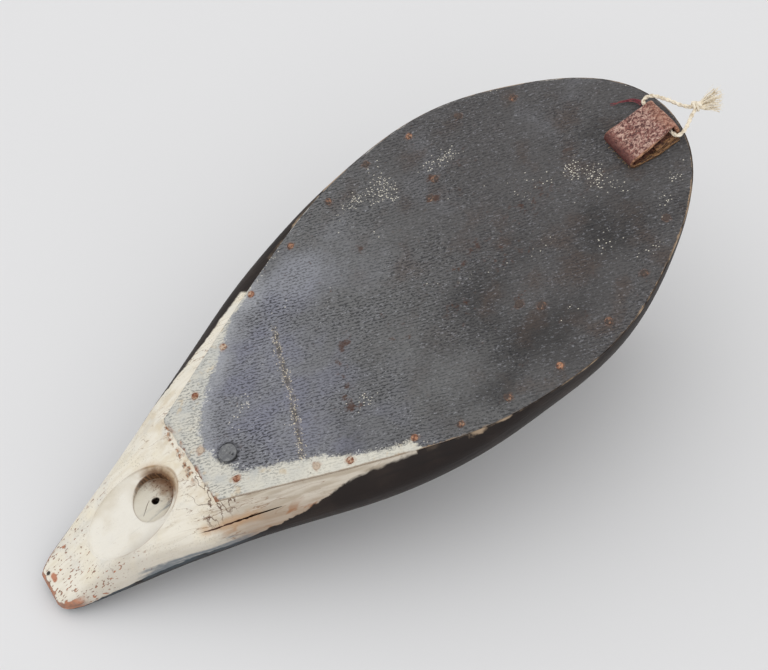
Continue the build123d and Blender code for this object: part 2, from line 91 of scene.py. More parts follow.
def rest_origin(pitch):
    """Where the tail edge of the flat bottom lies, read from the canvas that starts beside it."""
    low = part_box("bottom_canvas")[0]
    back = CANVAS_INSET * math.cos(pitch) - CANVAS_THICKNESS * math.sin(pitch)
    return Vector((low.x - MM * back, 0, low.z - MM * CANVAS_INSET * math.sin(pitch)))


PITCH = rest_pitch()
ORIGIN = rest_origin(PITCH)
REST_TURN = Euler((math.pi, -PITCH, 0))
# From the decoy's own millimetres, as it floats, to the place where it lies: x from the tail edge of the
# bottom to the breast, y to port, z towards the deck.
REST = Matrix.Translation(ORIGIN) @ REST_TURN.to_matrix().to_4x4() @ Matrix.Scale(MM, 4)
FLOATING = REST.inverted()


def own_points(mesh):
    """Vertices of a mesh in the decoy's own millimetres."""
    flat = np.zeros(len(mesh.vertices) * 3, np.float32)
    mesh.vertices.foreach_get("co", flat)
    back = np.array(FLOATING)
    return flat.reshape(-1, 3) @ back[:3, :3].T + back[:3, 3]


def own_box(node):
    """Low and high corner of a node in the decoy's own millimetres."""
    points = own_points(frame["nodes"][node].data)
    return Vector(points.min(0)), Vector(points.max(0))


def middle(corners):
    """Point halfway between two corners."""
    return (corners[0] + corners[1]) / 2


def laid(x, y, z):
    """Where a point of the decoy's own millimetres lies, in metres."""
    return REST @ Vector((x, y, z))


def tone(red, green, blue):
    """Scene colour of a paint written the way it looks, 0 to 255."""
    parts = [c / 255 for c in (red, green, blue)]
    return tuple(c / 12.92 if c <= 0.04045 else ((c + 0.055) / 1.055) ** 2.4 for c in parts)


# ---------------------------------------------------------------- settings


class CanvasSettings(bpy.types.PropertyGroup):
    thread_rows: bpy.props.FloatProperty(
        name="Thread rows", description="Distance between the weave's rows", default=0.00182, unit="LENGTH",
        precision=5)
    swell: bpy.props.FloatProperty(
        name="Swell", description="Height of the slow waves in the stretched cloth", default=0.0003,
        unit="LENGTH", precision=5)
    tail_grey: bpy.props.FloatVectorProperty(
        name="Tail grey", description="Violet-grey paint at the tail end", subtype="COLOR",
        default=tone(132, 133, 139))
    middle_grey: bpy.props.FloatVectorProperty(
        name="Middle grey", description="Dull paint amidships", subtype="COLOR", default=tone(112, 112, 112))
    breast_grey: bpy.props.FloatVectorProperty(
        name="Breast grey", description="Charcoal paint towards the breast", subtype="COLOR",
        default=tone(90, 88, 88))
    white: bpy.props.FloatVectorProperty(
        name="White", description="White paint that runs on to the canvas", subtype="COLOR",
        default=tone(216, 213, 202))


class HullSettings(bpy.types.PropertyGroup):
    cream: bpy.props.FloatVectorProperty(
        name="Cream", description="Old white paint of the tail", subtype="COLOR", default=tone(238, 232, 218))
    dark: bpy.props.FloatVectorProperty(
        name="Dark", description="Brown-black paint of body and deck", subtype="COLOR",
        default=tone(34, 27, 25))
    wood: bpy.props.FloatVectorProperty(
        name="Wood", description="Bare old wood where paint is gone", subtype="COLOR",
        default=tone(152, 112, 96))
    slate: bpy.props.FloatVectorProperty(
        name="Slate", description="Blue-black line under the tail", subtype="COLOR", default=tone(66, 76, 82))


class LoopSettings(bpy.types.PropertyGroup):
    ply: bpy.props.FloatProperty(
        name="Ply", description="Thickness of the leather", default=0.0019, unit="LENGTH", precision=4)
    rear: bpy.props.FloatProperty(
        name="Rear", description="Height over the rear fold", default=0.0066, unit="LENGTH", precision=4)
    front: bpy.props.FloatProperty(
        name="Front", description="Height over the front fold", default=0.0098, unit="LENGTH", precision=4)
    leather: bpy.props.FloatVectorProperty(
        name="Leather", description="Red-brown leather", subtype="COLOR", default=tone(126, 76, 66))
    worn: bpy.props.FloatVectorProperty(
        name="Worn leather", description="Rubbed high places of the grain", subtype="COLOR",
        default=tone(220, 186, 170))


class TwineSettings(bpy.types.PropertyGroup):
    diameter: bpy.props.FloatProperty(
        name="Diameter", description="Twine over both plies", default=0.0022, unit="LENGTH", precision=4)
    lay: bpy.props.FloatProperty(
        name="Lay", description="Length of one turn of the plies", default=0.0065, unit="LENGTH", precision=4)
    colour: bpy.props.FloatVectorProperty(
        name="Colour", description="Undyed twine", subtype="COLOR", default=tone(250, 240, 220))


class StageSettings(bpy.types.PropertyGroup):
    floor: bpy.props.FloatVectorProperty(
        name="Floor", description="Pale table top", subtype="COLOR", default=tone(230, 230, 231))
    key: bpy.props.FloatProperty(
        name="Key light", description="Strength of the broad light from tail and starboard", default=0.4)
    fill: bpy.props.FloatProperty(
        name="Fill light", description="Strength of the very broad light from port", default=0.5)
    sky: bpy.props.FloatProperty(
        name="Sky", description="Strength of the even light from all round", default=0.74)


class DecoySettings(bpy.types.PropertyGroup):
    canvas: bpy.props.PointerProperty(
        name="Canvas", description="Painted canvas on the bottom", type=CanvasSettings)
    hull: bpy.props.PointerProperty(name="Hull", description="Paint of hull and head", type=HullSettings)
    loop: bpy.props.PointerProperty(name="Loop", description="Leather anchor loop", type=LoopSettings)
    twine: bpy.props.PointerProperty(name="Twine", description="Twine in the loop", type=TwineSettings)
    stage: bpy.props.PointerProperty(name="Stage", description="Table and light", type=StageSettings)


def settings():
    return bpy.context.scene.decoy


def rgb(colour):
    return tuple(colour[:3])


# ---------------------------------------------------------------- finishes


class Signal:
    """A shader socket that takes part in sums."""

    def __init__(self, finish, socket):
        self.finish = finish
        self.socket = socket

    def __add__(self, other):
        return self.finish.sum_of("ADD", self, other)

    def __sub__(self, other):
        return self.finish.sum_of("SUBTRACT", self, other)

    def __rsub__(self, other):
        return self.finish.sum_of("SUBTRACT", other, self)

    def __mul__(self, other):
        return self.finish.sum_of("MULTIPLY", self, other)

    __radd__ = __add__
    __rmul__ = __mul__

    def __abs__(self):
        return self.finish.sum_of("ABSOLUTE", self)

    def cosine(self):
        return self.finish.sum_of("COSINE", self)

    def rise(self, low, high, start=0, end=1):
        """Smooth step from start to end as the signal goes from low to high."""
        sockets = {"Value": self, "From Min": low, "From Max": high, "To Min": start, "To Max": end}
        return self.finish.node("ShaderNodeMapRange", {"interpolation_type": "SMOOTHSTEP"}, sockets, "Result")

    def hump(self, middle, reach):
        """One at the middle, falling smoothly to nothing at that reach either side."""
        return abs(self - middle).rise(0, reach, 1, 0)


class Finish:
    """Node tree of one material."""

    def __init__(self, name, **fixed):
        self.material = bpy.data.materials.new(name)
        self.material.use_nodes = True
        self.tree = self.material.node_tree
        self.surface = self.tree.nodes["Principled BSDF"]
        for socket, value in fixed.items():
            self.surface.inputs[socket.replace("_", " ")].default_value = value
        there = self.node("ShaderNodeTexCoord", output="Object")
        self.floating = self.grid(there, ORIGIN, REST_TURN, (MM, MM, MM))

    def fill(self, socket, value):
        """Links a signal to a socket, or writes a number, a vector or a colour on it."""
        if isinstance(value, Signal):
            self.tree.links.new(value.socket, socket)
        else:
            socket.default_value = (*value, 1) if socket.type == "RGBA" else value

    def node(self, kind, parts=None, sockets=None, output=0):
        """A node of that kind, its parts set first and then its sockets; returns one of its outputs."""
        made = self.tree.nodes.new(kind)
        for name, value in (parts or {}).items():
            setattr(made, name, value)
        for name, value in (sockets or {}).items():
            self.fill(made.inputs[name], value)
        return Signal(self, made.outputs[output])

    def sum_of(self, operation, *values):
        return self.node("ShaderNodeMath", {"operation": operation}, dict(enumerate(values)))

    def vector_sum(self, operation, *values):
        """Number that comes of vectors."""
        return self.node("ShaderNodeVectorMath", {"operation": operation}, dict(enumerate(values)), "Value")

    def least(self, a, b):
        return self.sum_of("MINIMUM", a, b)

    def most(self, a, b):
        return self.sum_of("MAXIMUM", a, b)

    def mix(self, share, a, b):
        """Colour a turning into colour b."""
        return self.node("ShaderNodeMix", {"data_type": "RGBA"}, {0: share, 6: a, 7: b}, 2)

    def layers(self, colour, *coats):
        """Colour under coats: each is its share, and the colour or the three parts of the tone laid there."""
        for share, *shade in coats:
            colour = self.mix(share, colour, shade[0] if len(shade) == 1 else tone(*shade))
        return colour

    def grid(self, coordinates, place, turn, spread):
        """Coordinates from a place, in a turned and spread-out grid."""
        return self.node("ShaderNodeMapping", {"vector_type": "TEXTURE"},
                         {"Vector": coordinates, "Location": place, "Rotation": turn, "Scale": spread})

    def own(self, spread, place=(0, 0, 0), turn=0):
        """The decoy's own millimetres from a place, in a turned and spread-out grid."""
        return self.grid(self.floating, place, (0, 0, turn), spread)

    def axes(self):
        """Place along, to port and above the bottom, in millimetres."""
        split = self.node("ShaderNodeSeparateXYZ", sockets={"Vector": self.floating})
        return [Signal(self, axis) for axis in split.socket.node.outputs]

    def along(self, direction, start):
        """Distance from start along a direction."""
        away = self.own((1, 1, 1), start)
        return self.vector_sum("DOT_PRODUCT", away, direction)

    def reach(self, place, spread):
        """Distance from a place, measured in the spread."""
        return self.vector_sum("LENGTH", self.own(spread, place))

    def cloud(self, size, detail=3, spread=(1, 1, 1), turn=0, seed=0, curl=0):
        """Soft noise whose blots are about size millimetres across, longer along an axis with more spread."""
        place = (17.3 * seed, 41.9 * seed, 29.1 * seed)
        sockets = {"Vector": self.own(spread, place, turn), "Scale": 1 / size, "Detail": detail,
                   "Distortion": curl}
        return self.node("ShaderNodeTexNoise", {}, sockets, "Fac")

    def stray(self, span, *blots, **more):
        """Cloud about nothing, over a span."""
        return (self.cloud(*blots, **more) - 0.5) * span

    def grains(self, size, spread=(1, 1, 1), turn=0, output="Distance"):
        """Distance to points scattered about size apart, in shares of it, or each point's colour."""
        sockets = {"Vector": self.own(spread, turn=turn), "Scale": 1 / size}
        return self.node("ShaderNodeTexVoronoi", {}, sockets, output)

    def specks(self, size, share, spread=(1, 1, 1), turn=0):
        """Small dots on a share of the grains."""
        chosen = self.grains(size, spread, turn, "Color")
        return (share - chosen).rise(0, 0.06) * self.grains(size, spread, turn).rise(0.42, 0.24)

    def attribute(self, name):
        return self.node("ShaderNodeAttribute", {"attribute_name": name}, output="Fac")

    def course(self, signal, stops):
        """Straight runs between stops of (place, value)."""
        places, values = zip(*stops)
        low, high, least, most = places[0], places[-1], min(values), max(values)
        sockets = {"Value": signal, "From Min": low, "From Max": high}
        share = self.node("ShaderNodeMapRange", {}, sockets, "Result")
        grey = self.node("ShaderNodeValToRGB", {}, {"Fac": share}, "Color")
        ramp = grey.socket.node.color_ramp
        while len(ramp.elements) < len(stops):
            ramp.elements.new(1)
        for element, (place, value) in zip(ramp.elements, stops):
            element.position = (place - low) / (high - low)
            element.color = (*[(value - least) / (most - least)] * 3, 1)
        return grey * (most - least) + least

    def paint(self, colour, rough=None, height=None, depth=0, strength=1):
        """Leads a colour, and a roughness and a height where there are any, to the surface."""
        self.fill(self.surface.inputs["Base Color"], colour)
        if rough is not None:
            self.fill(self.surface.inputs["Roughness"], rough)
        if height is not None:
            sockets = {"Height": height, "Distance": depth, "Strength": strength}
            self.fill(self.surface.inputs["Normal"], self.node("ShaderNodeBump", {}, sockets, "Normal"))
        return self.material


# ---------------------------------------------------------------- making pieces


def put(name, data):
    """Adds an object to the scene."""
    thing = bpy.data.objects.new(name, data)
    bpy.context.scene.collection.objects.link(thing)
    return thing


def mesh_from(name, bm):
    """Mesh of a finished shape, which is freed."""
    mesh = bpy.data.meshes.new(name)
    bm.to_mesh(mesh)
    bm.free()
    return mesh


def wear_on(mesh, **values):
    """Stores one number a vertex under each name, for the mesh's finish to read."""
    for name, numbers in values.items():
        layer = mesh.attributes.new(name, "FLOAT", "POINT")
        layer.data.foreach_set("value", np.asarray(numbers, np.float32))


def set_down(name, mesh, material, body, slot, *nodes):
    """Puts a finished mesh in the scene on its body, in place of the nodes that it stands for."""
    for face in mesh.polygons:
        face.use_smooth = True
    mesh.materials.clear()
    mesh.materials.append(material)
    piece = put(name, mesh)
    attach(piece, body)
    if nodes:
        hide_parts(*nodes)
    return piece


def laid_mesh(name, bm):
    """Mesh from a shape drawn in the decoy's own millimetres, laid where the decoy lies."""
    bmesh.ops.transform(bm, matrix=REST, verts=bm.verts)
    return mesh_from(name, bm)


def only(kind, parts):
    """The points, edges or faces among what a mesh operator made."""
    return [part for part in parts if isinstance(part, kind)]


def nurbs(name, runs, resolution, taper=0):
    """Curve with a smooth line along each run of points in metres, thinner at its end by the taper."""
    curve = bpy.data.curves.new(name, "CURVE")
    curve.dimensions = "3D"
    for run in runs:
        spline = curve.splines.new("NURBS")
        spline.points.add(len(run) - 1)
        for i, point in enumerate(run):
            spline.points[i].co = (*point, 1)
            spline.points[i].radius = 1 - taper * i / (len(run) - 1)
        spline.order_u = 3
        spline.use_endpoint_u = True
        spline.resolution_u = resolution
    return curve


def mesh_of(curve):
    """Mesh of a curve, which is taken away."""
    shape = bpy.data.objects.new(curve.name, curve)
    mesh = bpy.data.meshes.new_from_object(shape)
    mesh.name = curve.name
    bpy.data.objects.remove(shape)
    bpy.data.curves.remove(curve)
    return mesh


def strands(name, runs, radius, sides, taper=0):
    """One mesh of round strands, each along a run of points in metres."""
    curve = nurbs(name, runs, 3, taper)
    curve.bevel_depth = radius
    curve.bevel_resolution = sides
    curve.use_fill_caps = True
    return mesh_of(curve)


def evenly(line, step):
    """The line again, in even steps."""
    reach = np.concatenate([[0], np.cumsum(np.linalg.norm(np.diff(line, axis=0), axis=1))])
    count = max(2, int(reach[-1] / step) + 1)
    at = np.linspace(0, reach[-1], count)
    return np.stack([np.interp(at, reach, line[:, k]) for k in range(3)], axis=1), at


def side_frames(line):
    """Two directions square to a line at each of its points, carried along without twist."""
    ahead = np.gradient(line, axis=0)
    ahead /= np.linalg.norm(ahead, axis=1)[:, None]
    side = np.cross(ahead[0], (0, 0, 1))
    sides = []
    for way in ahead:
        side = side - way * (side @ way)
        side = side / np.linalg.norm(side)
        sides.append(side)
    sides = np.array(sides)
    return sides, np.cross(ahead, sides)


def bumpy(point, size, height, seed=0):
    """Smooth unevenness of a hand-made surface at a point in millimetres."""
    return height * noise.noise(Vector(point) / size + Vector((seed, 0, -seed)))


# ---------------------------------------------------------------- canvas

# Where white paint on the canvas gives way to grey: distance to port and place along the bottom.
PAINT_EDGE = (
    (-74, 80), (-66, 78), (-60.5, 73), (-56.9, 60.8), (-40.7, 44.2), (-30.5, 31.2), (-19.8, 20),
    (-8.6, 12.3), (-0.8, 11.1), (12.6, 14.2), (24.4, 19.9), (32.2, 36), (42.5, 53.5), (54.5, 69.6),
    (62, 82.7), (68.6, 98.1), (76, 101),
)
# Course of the joint between the bottom boards, worn through the paint.
JOINT_LINE = ((75.3, -33.8), (68.1, -13.1), (63, 5), (53.3, 29.5), (44, 49.9))
# Patches where pale threads show: place, reach along and across, strength.
CHALK = (
    (249, -3, 6, 6, 0.5), (256, 8, 6, 8, 0.5), (262, 19, 4, 6, 0.4), (165, -64, 10, 9, 0.46),
    (152, -71, 8, 6, 0.44), (200, -59, 12, 5, 0.42), (286, 36, 5, 4, 0.4), (222, -14, 16, 10, 0.16),
    (214, 24, 10, 6, 0.18), (238, 44, 8, 8, 0.24), (92, 34, 8, 6, 0.3), (82, -71, 8, 5, 0.6),
    (96, -75, 10, 4, 0.4), (36, -8, 14, 10, 0.14), (80, -40, 14, 10, 0.12), (252, 62, 8, 5, 0.25),
    (272, 44, 6, 6, 0.22),
)
# Broad places where the old paint is paler or darker: place, reach along and across, amount.
PALER = ((97, -52, 22, 14, 1), (72, -22, 24, 20, 0.45), (58, 8, 16, 30, 0.35),
         (126, -45, 26, 22, 0.4), (196, 44, 22, 20, 0.2), (214, 78, 24, 8, 0.3))
DARKER = ((178, 22, 26, 26, 0.6), (238, 30, 20, 22, 0.5), (272, -16, 12, 10, 0.6),
          (84, -72, 13, 6.5, 1), (96, 22, 12, 18, 0.35), (70, 50, 18, 8, 0.4),
          (232, -70, 26, 8, 0.4), (150, 74, 30, 8, 0.4), (185, 62, 34, 16, 0.6))
# Brown stains: place, reach and strength.
STAINS = (
    (100.2, -1.4, 4, 3, 1), (97.5, 2, 3, 2.4, 0.8), (92, 7.5, 1.8, 4, 0.65),
    (89.5, 14, 1.5, 4, 0.45), (88.8, 20, 2.4, 3, 0.5), (84.4, 27, 2, 4, 0.6),
    (83.6, 32.4, 3.6, 3.4, 1), (88, 35, 3, 2, 0.7), (190.3, -52.4, 2.6, 2.6, 1),
    (185.4, -40.1, 2.6, 2.6, 1), (197.8, -36, 3, 3, 0.6), (183, -1, 6, 4, 0.6),
    (174, 3, 5, 3, 0.5), (169.5, 1.5, 3, 3, 0.5), (196, 14, 14, 9, 0.34),
    (222, -4, 16, 10, 0.34), (206.6, -49, 4, 3, 0.45), (137.4, -42.1, 2, 2, 0.7),
    (254, -15.9, 3, 3, 0.7), (182.7, 38.1, 3, 3, 0.55), (160, 22, 12, 8, 0.3),
    (128, 12, 10, 8, 0.24),
)
# Short wrinkles pressed into the cloth: ends and height.
WRINKLES = (
    ((102, -3), (91.5, 8.5), 0.5), ((90, 16), (83, 33), 0.45), ((120, -30), (150, -24), 0.2),
    ((232, 2), (206, 30), 0.25),
)
WRINKLE_REACH = 1.5
JOINT_REACH = 2.6
JOINT_DIP = 0.22
TACK_HEAD_REACH = 6
TACK_RISE = 0.34
CLOUT_RISE = 0.5
CLOUT_RING = 5.6
SKIRT_DEPTH = 0.01
CANVAS_COLUMNS = 330
CANVAS_ROWS = 132
WEFT_TURN = math.radians(24.6)
WEFT_WAY = (-0.416, 0.909)
WARP_WAY = (1.092, 0.238)


def canvas_rim():
    """Places along the bottom and the canvas's half width there."""
    points = own_points(frame["nodes"]["bottom_canvas"].data)
    rim = []
    for x, y in sorted({(round(float(x), 3), round(abs(float(y)), 3)) for x, y, _ in points}):
        while len(rim) > 1 and turn_of(rim[-2], rim[-1], (x, y)) >= 0:
            rim.pop()
        rim.append((x, y))
    return np.array(rim)


def turn_of(a, b, c):
    """Positive where the run from a through b to c turns left."""
    return (b[0] - a[0]) * (c[1] - a[1]) - (b[1] - a[1]) * (c[0] - a[0])


def nail_heads(node):
    """Centres of the heads of a node's nails, in the decoy's own millimetres."""
    points = own_points(frame["nodes"][node].data)
    points = points[points[:, 2] < -CANVAS_THICKNESS][:, :2]
    heads = []
    while len(points):
        near = np.linalg.norm(points - points[0], axis=1) < TACK_HEAD_REACH
        heads.append((points[near].min(0) + points[near].max(0)) / 2)
        points = points[~near]
    return np.array(heads)


def distance_to_run(points, run):
    """Least distance of points to a run of straight pieces."""
    best = np.full(len(points), 1e9)
    for a, b in zip(np.array(run[:-1], float), np.array(run[1:], float)):
        step = b - a
        share = np.clip((points - a) @ step / (step @ step), 0, 1)
        best = np.minimum(best, np.linalg.norm(points - a - share[:, None] * step, axis=1))
    return best


def cloth_height(point, rim, swell, heads, clout, joint_away, wrinkle):
    """How far the painted cloth stands off the boards, in millimetres."""
    x, y = point
    height = CANVAS_THICKNESS + bumpy((x, y, 0), 42, swell, 3) + bumpy((x, y, 0), 9, 0.12, 7) + wrinkle
    near = np.linalg.norm(heads - np.array(point), axis=1).min()
    height -= JOINT_DIP * math.exp(-(joint_away / 1.6) ** 2)
    height += TACK_RISE * math.exp(-(near / 3) ** 2)
    height += CLOUT_RISE * math.exp(-(max(math.dist(point, clout) - 4.6, 0) / 2.6) ** 2)
    return height * (1 - 0.8 * math.exp(-max(rim, 0) / 1.5)) + 0.02


def canvas_mesh(rim, heads, clout):
    """Stretched cloth with a rounded, slightly ragged edge, closed below."""
    swell = settings().canvas.swell / MM
    low, high = rim[0, 0], rim[-1, 0]
    bm = bmesh.new()
    bmesh.ops.create_grid(bm, x_segments=CANVAS_COLUMNS, y_segments=CANVAS_ROWS, size=1)
    flat = np.array([(v.co.x, v.co.y) for v in bm.verts])
    x = low + (high - low) * np.sin(math.pi / 2 * (flat[:, 0] + 1) / 2)
    half = np.interp(x, rim[:, 0], rim[:, 1])
    y = flat[:, 1] * half
    inward = np.minimum(half - np.abs(y), x - low)
    points = np.stack([x, y], axis=1)
    joint_away = distance_to_run(points, JOINT_LINE)
    wrinkle = sum(high_by * np.exp(-(distance_to_run(points, ends) / WRINKLE_REACH) ** 2)
                  for *ends, high_by in WRINKLES)
    for i, vert in enumerate(bm.verts):
        ragged = bumpy((x[i], y[i], 9), 3.5, 0.9) if x[i] < low + 2.5 else 0
        height = cloth_height((x[i], y[i]), inward[i], swell, heads, clout, joint_away[i], wrinkle[i])
        vert.co = (x[i] + ragged, y[i], -height)
    skirt = bmesh.ops.extrude_edge_only(bm, edges=[e for e in bm.edges if e.is_boundary])["geom"]
    for vert in only(bmesh.types.BMVert, skirt):
        vert.co.z = -SKIRT_DEPTH
    bmesh.ops.holes_fill(bm, edges=[e for e in bm.edges if e.is_boundary])
    bmesh.ops.recalc_face_normals(bm, faces=bm.faces)
    return laid_mesh("painted_canvas", bm)


def blots(points, spots):
    """Strength of round or oval spots at points: place, reaches and strength of each."""
    total = np.zeros(len(points))
    for x, y, *reach, strength in spots:
        along, across = reach if len(reach) == 2 else reach * 2
        far = ((points[:, 0] - x) / along) ** 2 + ((points[:, 1] - y) / across) ** 2
        total = np.maximum(total, strength * np.exp(-far))
    return total


def wear_canvas(mesh, rim, heads, clout):
    """Stores where the canvas is white, rubbed, stained and worn, and where painted shadow circles the clout.
    """
    points = own_points(mesh)[:, :2]
    edge = np.array(PAINT_EDGE)
    side = np.sign(np.interp(points[:, 1], edge[:, 0], edge[:, 1]) - points[:, 0])
    half = np.interp(points[:, 0], rim[:, 0], rim[:, 1])
    ring = np.abs(np.linalg.norm(points - np.array(clout), axis=1) - CLOUT_RING)
    wear_on(
        mesh,
        white=side * distance_to_run(points, edge[:, ::-1]),
        joint=np.exp(-(distance_to_run(points, JOINT_LINE) / JOINT_REACH) ** 2),
        chalk=blots(points, CHALK),
        stain=blots(points, STAINS),
        rust=blots(points, [(x, y, 3, 1) for x, y in heads]),
        tint=blots(points, PALER) - blots(points, DARKER),
        rim=np.minimum(half - np.abs(points[:, 1]), points[:, 0] - CANVAS_INSET),
        # painted shadow: a dark band on the canvas at the clout's edge
        ring=np.exp(-(ring / 0.7) ** 2),
    )


def canvas_weave(f, x, y):
    """Weave, lumps, fuzz and pits of the cloth under its paint."""
    rows = WHOLE_TURN * MM / settings().canvas.thread_rows
    wander = f.stray(2.4, 9, 2) + f.stray(0.9, 2.6, 2, seed=1)
    weft, warp = [(x * ahead + y * across + wander) * rows for ahead, across in (WEFT_WAY, WARP_WAY)]
    weave = weft.cosine() * 0.5 + (weft * 0.5).cosine() * (warp * 0.5).cosine() * 0.45 + warp.cosine() * 0.15
    slubs = f.stray(1, 1.3, 2, (2, 0.75, 1), WEFT_TURN, 2)
    pits = (f.cloud(0.85, 2, (2, 0.85, 1), WEFT_TURN, 20) - weft.cosine() * 0.075).rise(0.51, 0.38)
    return weave, slubs, f.stray(1, 0.75, 2), pits


def canvas_finish():
    """Coarse canvas filled with old paint: threads rubbed pale, hollows darkened with painted shade, white at
    the tail, painted shadow round the clout.
    """
    tints = settings().canvas
    f = Finish("canvas_paint", Specular_IOR_Level=0.22)
    x, y, _ = f.axes()
    weave, slubs, fine, pits = canvas_weave(f, x, y)
    threads = weave * 0.35 + slubs * 4.4 + fine * 3.6
    showing = x.rise(50, 250, 1, 0.8) * f.cloud(34, seed=3).rise(0.32, 0.66, 0.65, 1.15)
    tint = f.attribute("tint") + f.stray(1.3, 22, 4, seed=4) + y.rise(-75, 60, 0.22, -0.3)
    chalk = f.attribute("chalk") * 1.5 + f.cloud(15, 4, seed=7).rise(0.5, 0.8, 0, 0.3)
    worn = f.attribute("joint")
    patchy = f.cloud(6, 2, seed=8)
    white = f.attribute("white")
    hazy = (white + f.stray(12, 11, seed=9)).rise(-12, 2) * y.rise(24, -16)
    flecks = (white + threads * 3.2 + f.stray(16, 8, seed=19)).rise(1.5, 4) * white.rise(-12, -2)
    grey = f.layers(
        rgb(tints.tail_grey),
        (x.rise(40, 120), rgb(tints.middle_grey)),
        (x.rise(105, 210), rgb(tints.breast_grey)),
        (tint.rise(0.1, 1.1) * 0.7, 150, 152, 160),
        (tint.rise(-0.1, -1.1) * 0.8, 52, 50, 49),
        (f.cloud(20, 2, seed=5).rise(0.4, 0.66) * x.rise(50, 135, 0.7, 0), 126, 127, 142),
        (f.cloud(18, 4, seed=6).rise(0.5, 0.72) * x.rise(90, 170, 0, 0.5), 84, 70, 62),
        (threads.rise(0.2, 1.9) * showing * 0.6, 182, 183, 190),
        # painted shade: the weave's pits darkened
        (pits * showing * 0.75, 42, 42, 45),
        (f.specks(0.8, chalk, (1.4, 1, 1), WEFT_TURN) * 0.95, 236, 230, 214),
        ((worn + fine * 2 + patchy - 0.5).rise(0.45, 1.3) * 0.5, 150, 142, 134),
        (worn.rise(0.6, 0.95) * patchy.rise(0.36, 0.6) * 0.6, 62, 56, 52),
        (f.specks(0.9, worn * 0.8) * 0.95, 222, 210, 186),
        (hazy * (0.5 + fine * 0.8), 188, 190, 194),
        (flecks * 0.8, 220, 220, 218),
    )
    inside = (white + f.stray(5, 6, 4, seed=10) + fine * 4 + slubs * 4 + weave * 0.5).rise(-0.9, 1.5)
    # white paint at the tail end: soil and stains, and painted shade in its pits
    soiled = f.layers(
        rgb(tints.white),
        (f.cloud(9, seed=11).rise(0.4, 0.68) * 0.7, 190, 192, 190),
        # painted shade: pits in the white paint darkened
        (pits * f.cloud(12, 2, seed=12).rise(0.3, 0.6, 0.12, 0.7), 120, 120, 118),
        (y.rise(28, 50) * 0.6, 228, 224, 210),
        (f.cloud(5, seed=13).rise(0.56, 0.72) * 0.55, 206, 186, 154),
    )
    stain = (f.attribute("stain") + fine * 1.2 + f.stray(2, 3.5, seed=14)).rise(0.35, 0.8)
    rust = (f.attribute("rust") + f.stray(1.2, 2, 2, seed=15)).rise(0.3, 1)
    rim = f.attribute("rim")
    chip = f.stray(3.4, 5, 4, seed=16) + fine * 1.6
    lengths = f.cloud(26, seed=21).rise(0.42, 0.58, 0.12, 1)
    worn_rim = (rim + chip).rise(0.5, -0.1) * x.rise(60, 120) * lengths
    painted_over = (rim + chip * 0.25).rise(1.1, 0.3) * y.rise(20, 32) * x.rise(100, 90)
    ridge = (x + f.stray(4.6, 3, 3, (1, 3, 1), seed=17)).rise(3, 1.2) * f.cloud(7, 2, seed=18).rise(0.4, 0.56)
    colour = f.layers(
        grey,
        (inside, soiled),
        (stain * 0.75, 80, 54, 42),
        (rust * (inside * 0.45 + 0.3), 166, 116, 84),
        (worn_rim * 0.85, f.mix(y.rise(-20, 20), tone(212, 210, 204), tone(192, 164, 134))),
        (painted_over * 0.7, 138, 112, 88),
        (ridge * y.rise(-27, -16) * 0.9, f.mix(fine.rise(-0.1, 0.1), tone(112, 74, 52), tone(176, 116, 84))),
        # painted shadow round the clout
        (f.attribute("ring") * 0.85, 30, 30, 32),
    )
    height = threads * showing * 0.35 + f.cloud(2.2) * 0.5 + inside * 0.15
    return f.paint(colour, f.cloud(5, 2).rise(0.3, 0.7, 0.6, 0.82), height, 0.0004, 0.9)


# ---------------------------------------------------------------- hull and head

# Height of the paint line above the bottom for places along it, on each side.
PORT_LINE = (
    (-100, 26), (-75, 22.5), (-50, 18.5), (-25, 16), (0, 15), (6, 13.2), (18, 10.4),
    (29, 8.2), (37.7, 6.3), (44.2, 4.4), (50.7, 3), (57, 2), (66, 1), (80, 0.5), (97, 0.1),
    (100, -2), (140, -4),
)
STARBOARD_LINE = (
    (-100, 24), (-90, 20), (-75, 17.6), (-62, 18), (-45, 17), (-20, 12), (0, 7),
    (11.6, 4.6), (22, 3.3), (36, 2), (52, 1.3), (72, 0.8), (79, -1.5), (140, -4),
)
# Half width of the tail for places along it.
TAIL_SIDES = ((-100, 10.4), (-98, 13.3), (-96, 14.7), (-93, 16.5), (-80, 20.7), (-60, 27.3),
              (-40, 32.8), (0, 48.4))
SCOOP = ((-39.5, 0, 0), (30, 19.3, 1e6))
POCKET = (-27, 0, 0)
FROM_ABOVE = (1, 1, 1e6)
POCKET_RADIUS = 12.5
POCKET_FLOOR = 12.5
PILOT_RADIUS = 2
TIP_NAIL_HOLE = (-95.6, -7.4, 0)
CRACK_START = Vector((-12, 37, 5.6))
CRACK_END = Vector((42, 57.6, 2.5))
CRACK_LEAN = math.radians(35)
BILGE_TURN = math.atan2(CRACK_END.y - CRACK_START.y, CRACK_END.x - CRACK_START.x)
BILL_LENGTH = 27
SPIGOT_REACH = 8
SOCKET_REACH = 4.2
KNIFE_GRAIN = 0.8
KNIFE_PASSES = 9
NECK_FACE = 1.2
CROWN_FLAT = 0.4


def crack_masks(f):
    """Dark split and the tan stain beside it along the port bilge."""
    run = CRACK_END - CRACK_START
    length = run.length
    run.normalize()
    out = Vector((0, math.sin(CRACK_LEAN), -math.cos(CRACK_LEAN)))
    along = f.along(run, CRACK_START)
    side = abs(f.along(out.cross(run).normalized(), CRACK_START) + f.stray(1.6, 6))
    reach = along.rise(-6, 0) * along.rise(length + 5, length - 2) * abs(f.along(out, CRACK_START)).rise(9, 6)
    wide = along.hump(length * 0.5, length * 0.7) * 0.3 + f.cloud(4, 2, seed=1).rise(0.3, 0.7, 0, 0.4)
    split = (wide - side).rise(-0.15, 0.1) * reach
    stain = (side + f.stray(6, 7, 2, seed=2)).rise(4.6, 0.4) * reach
    return split, stain


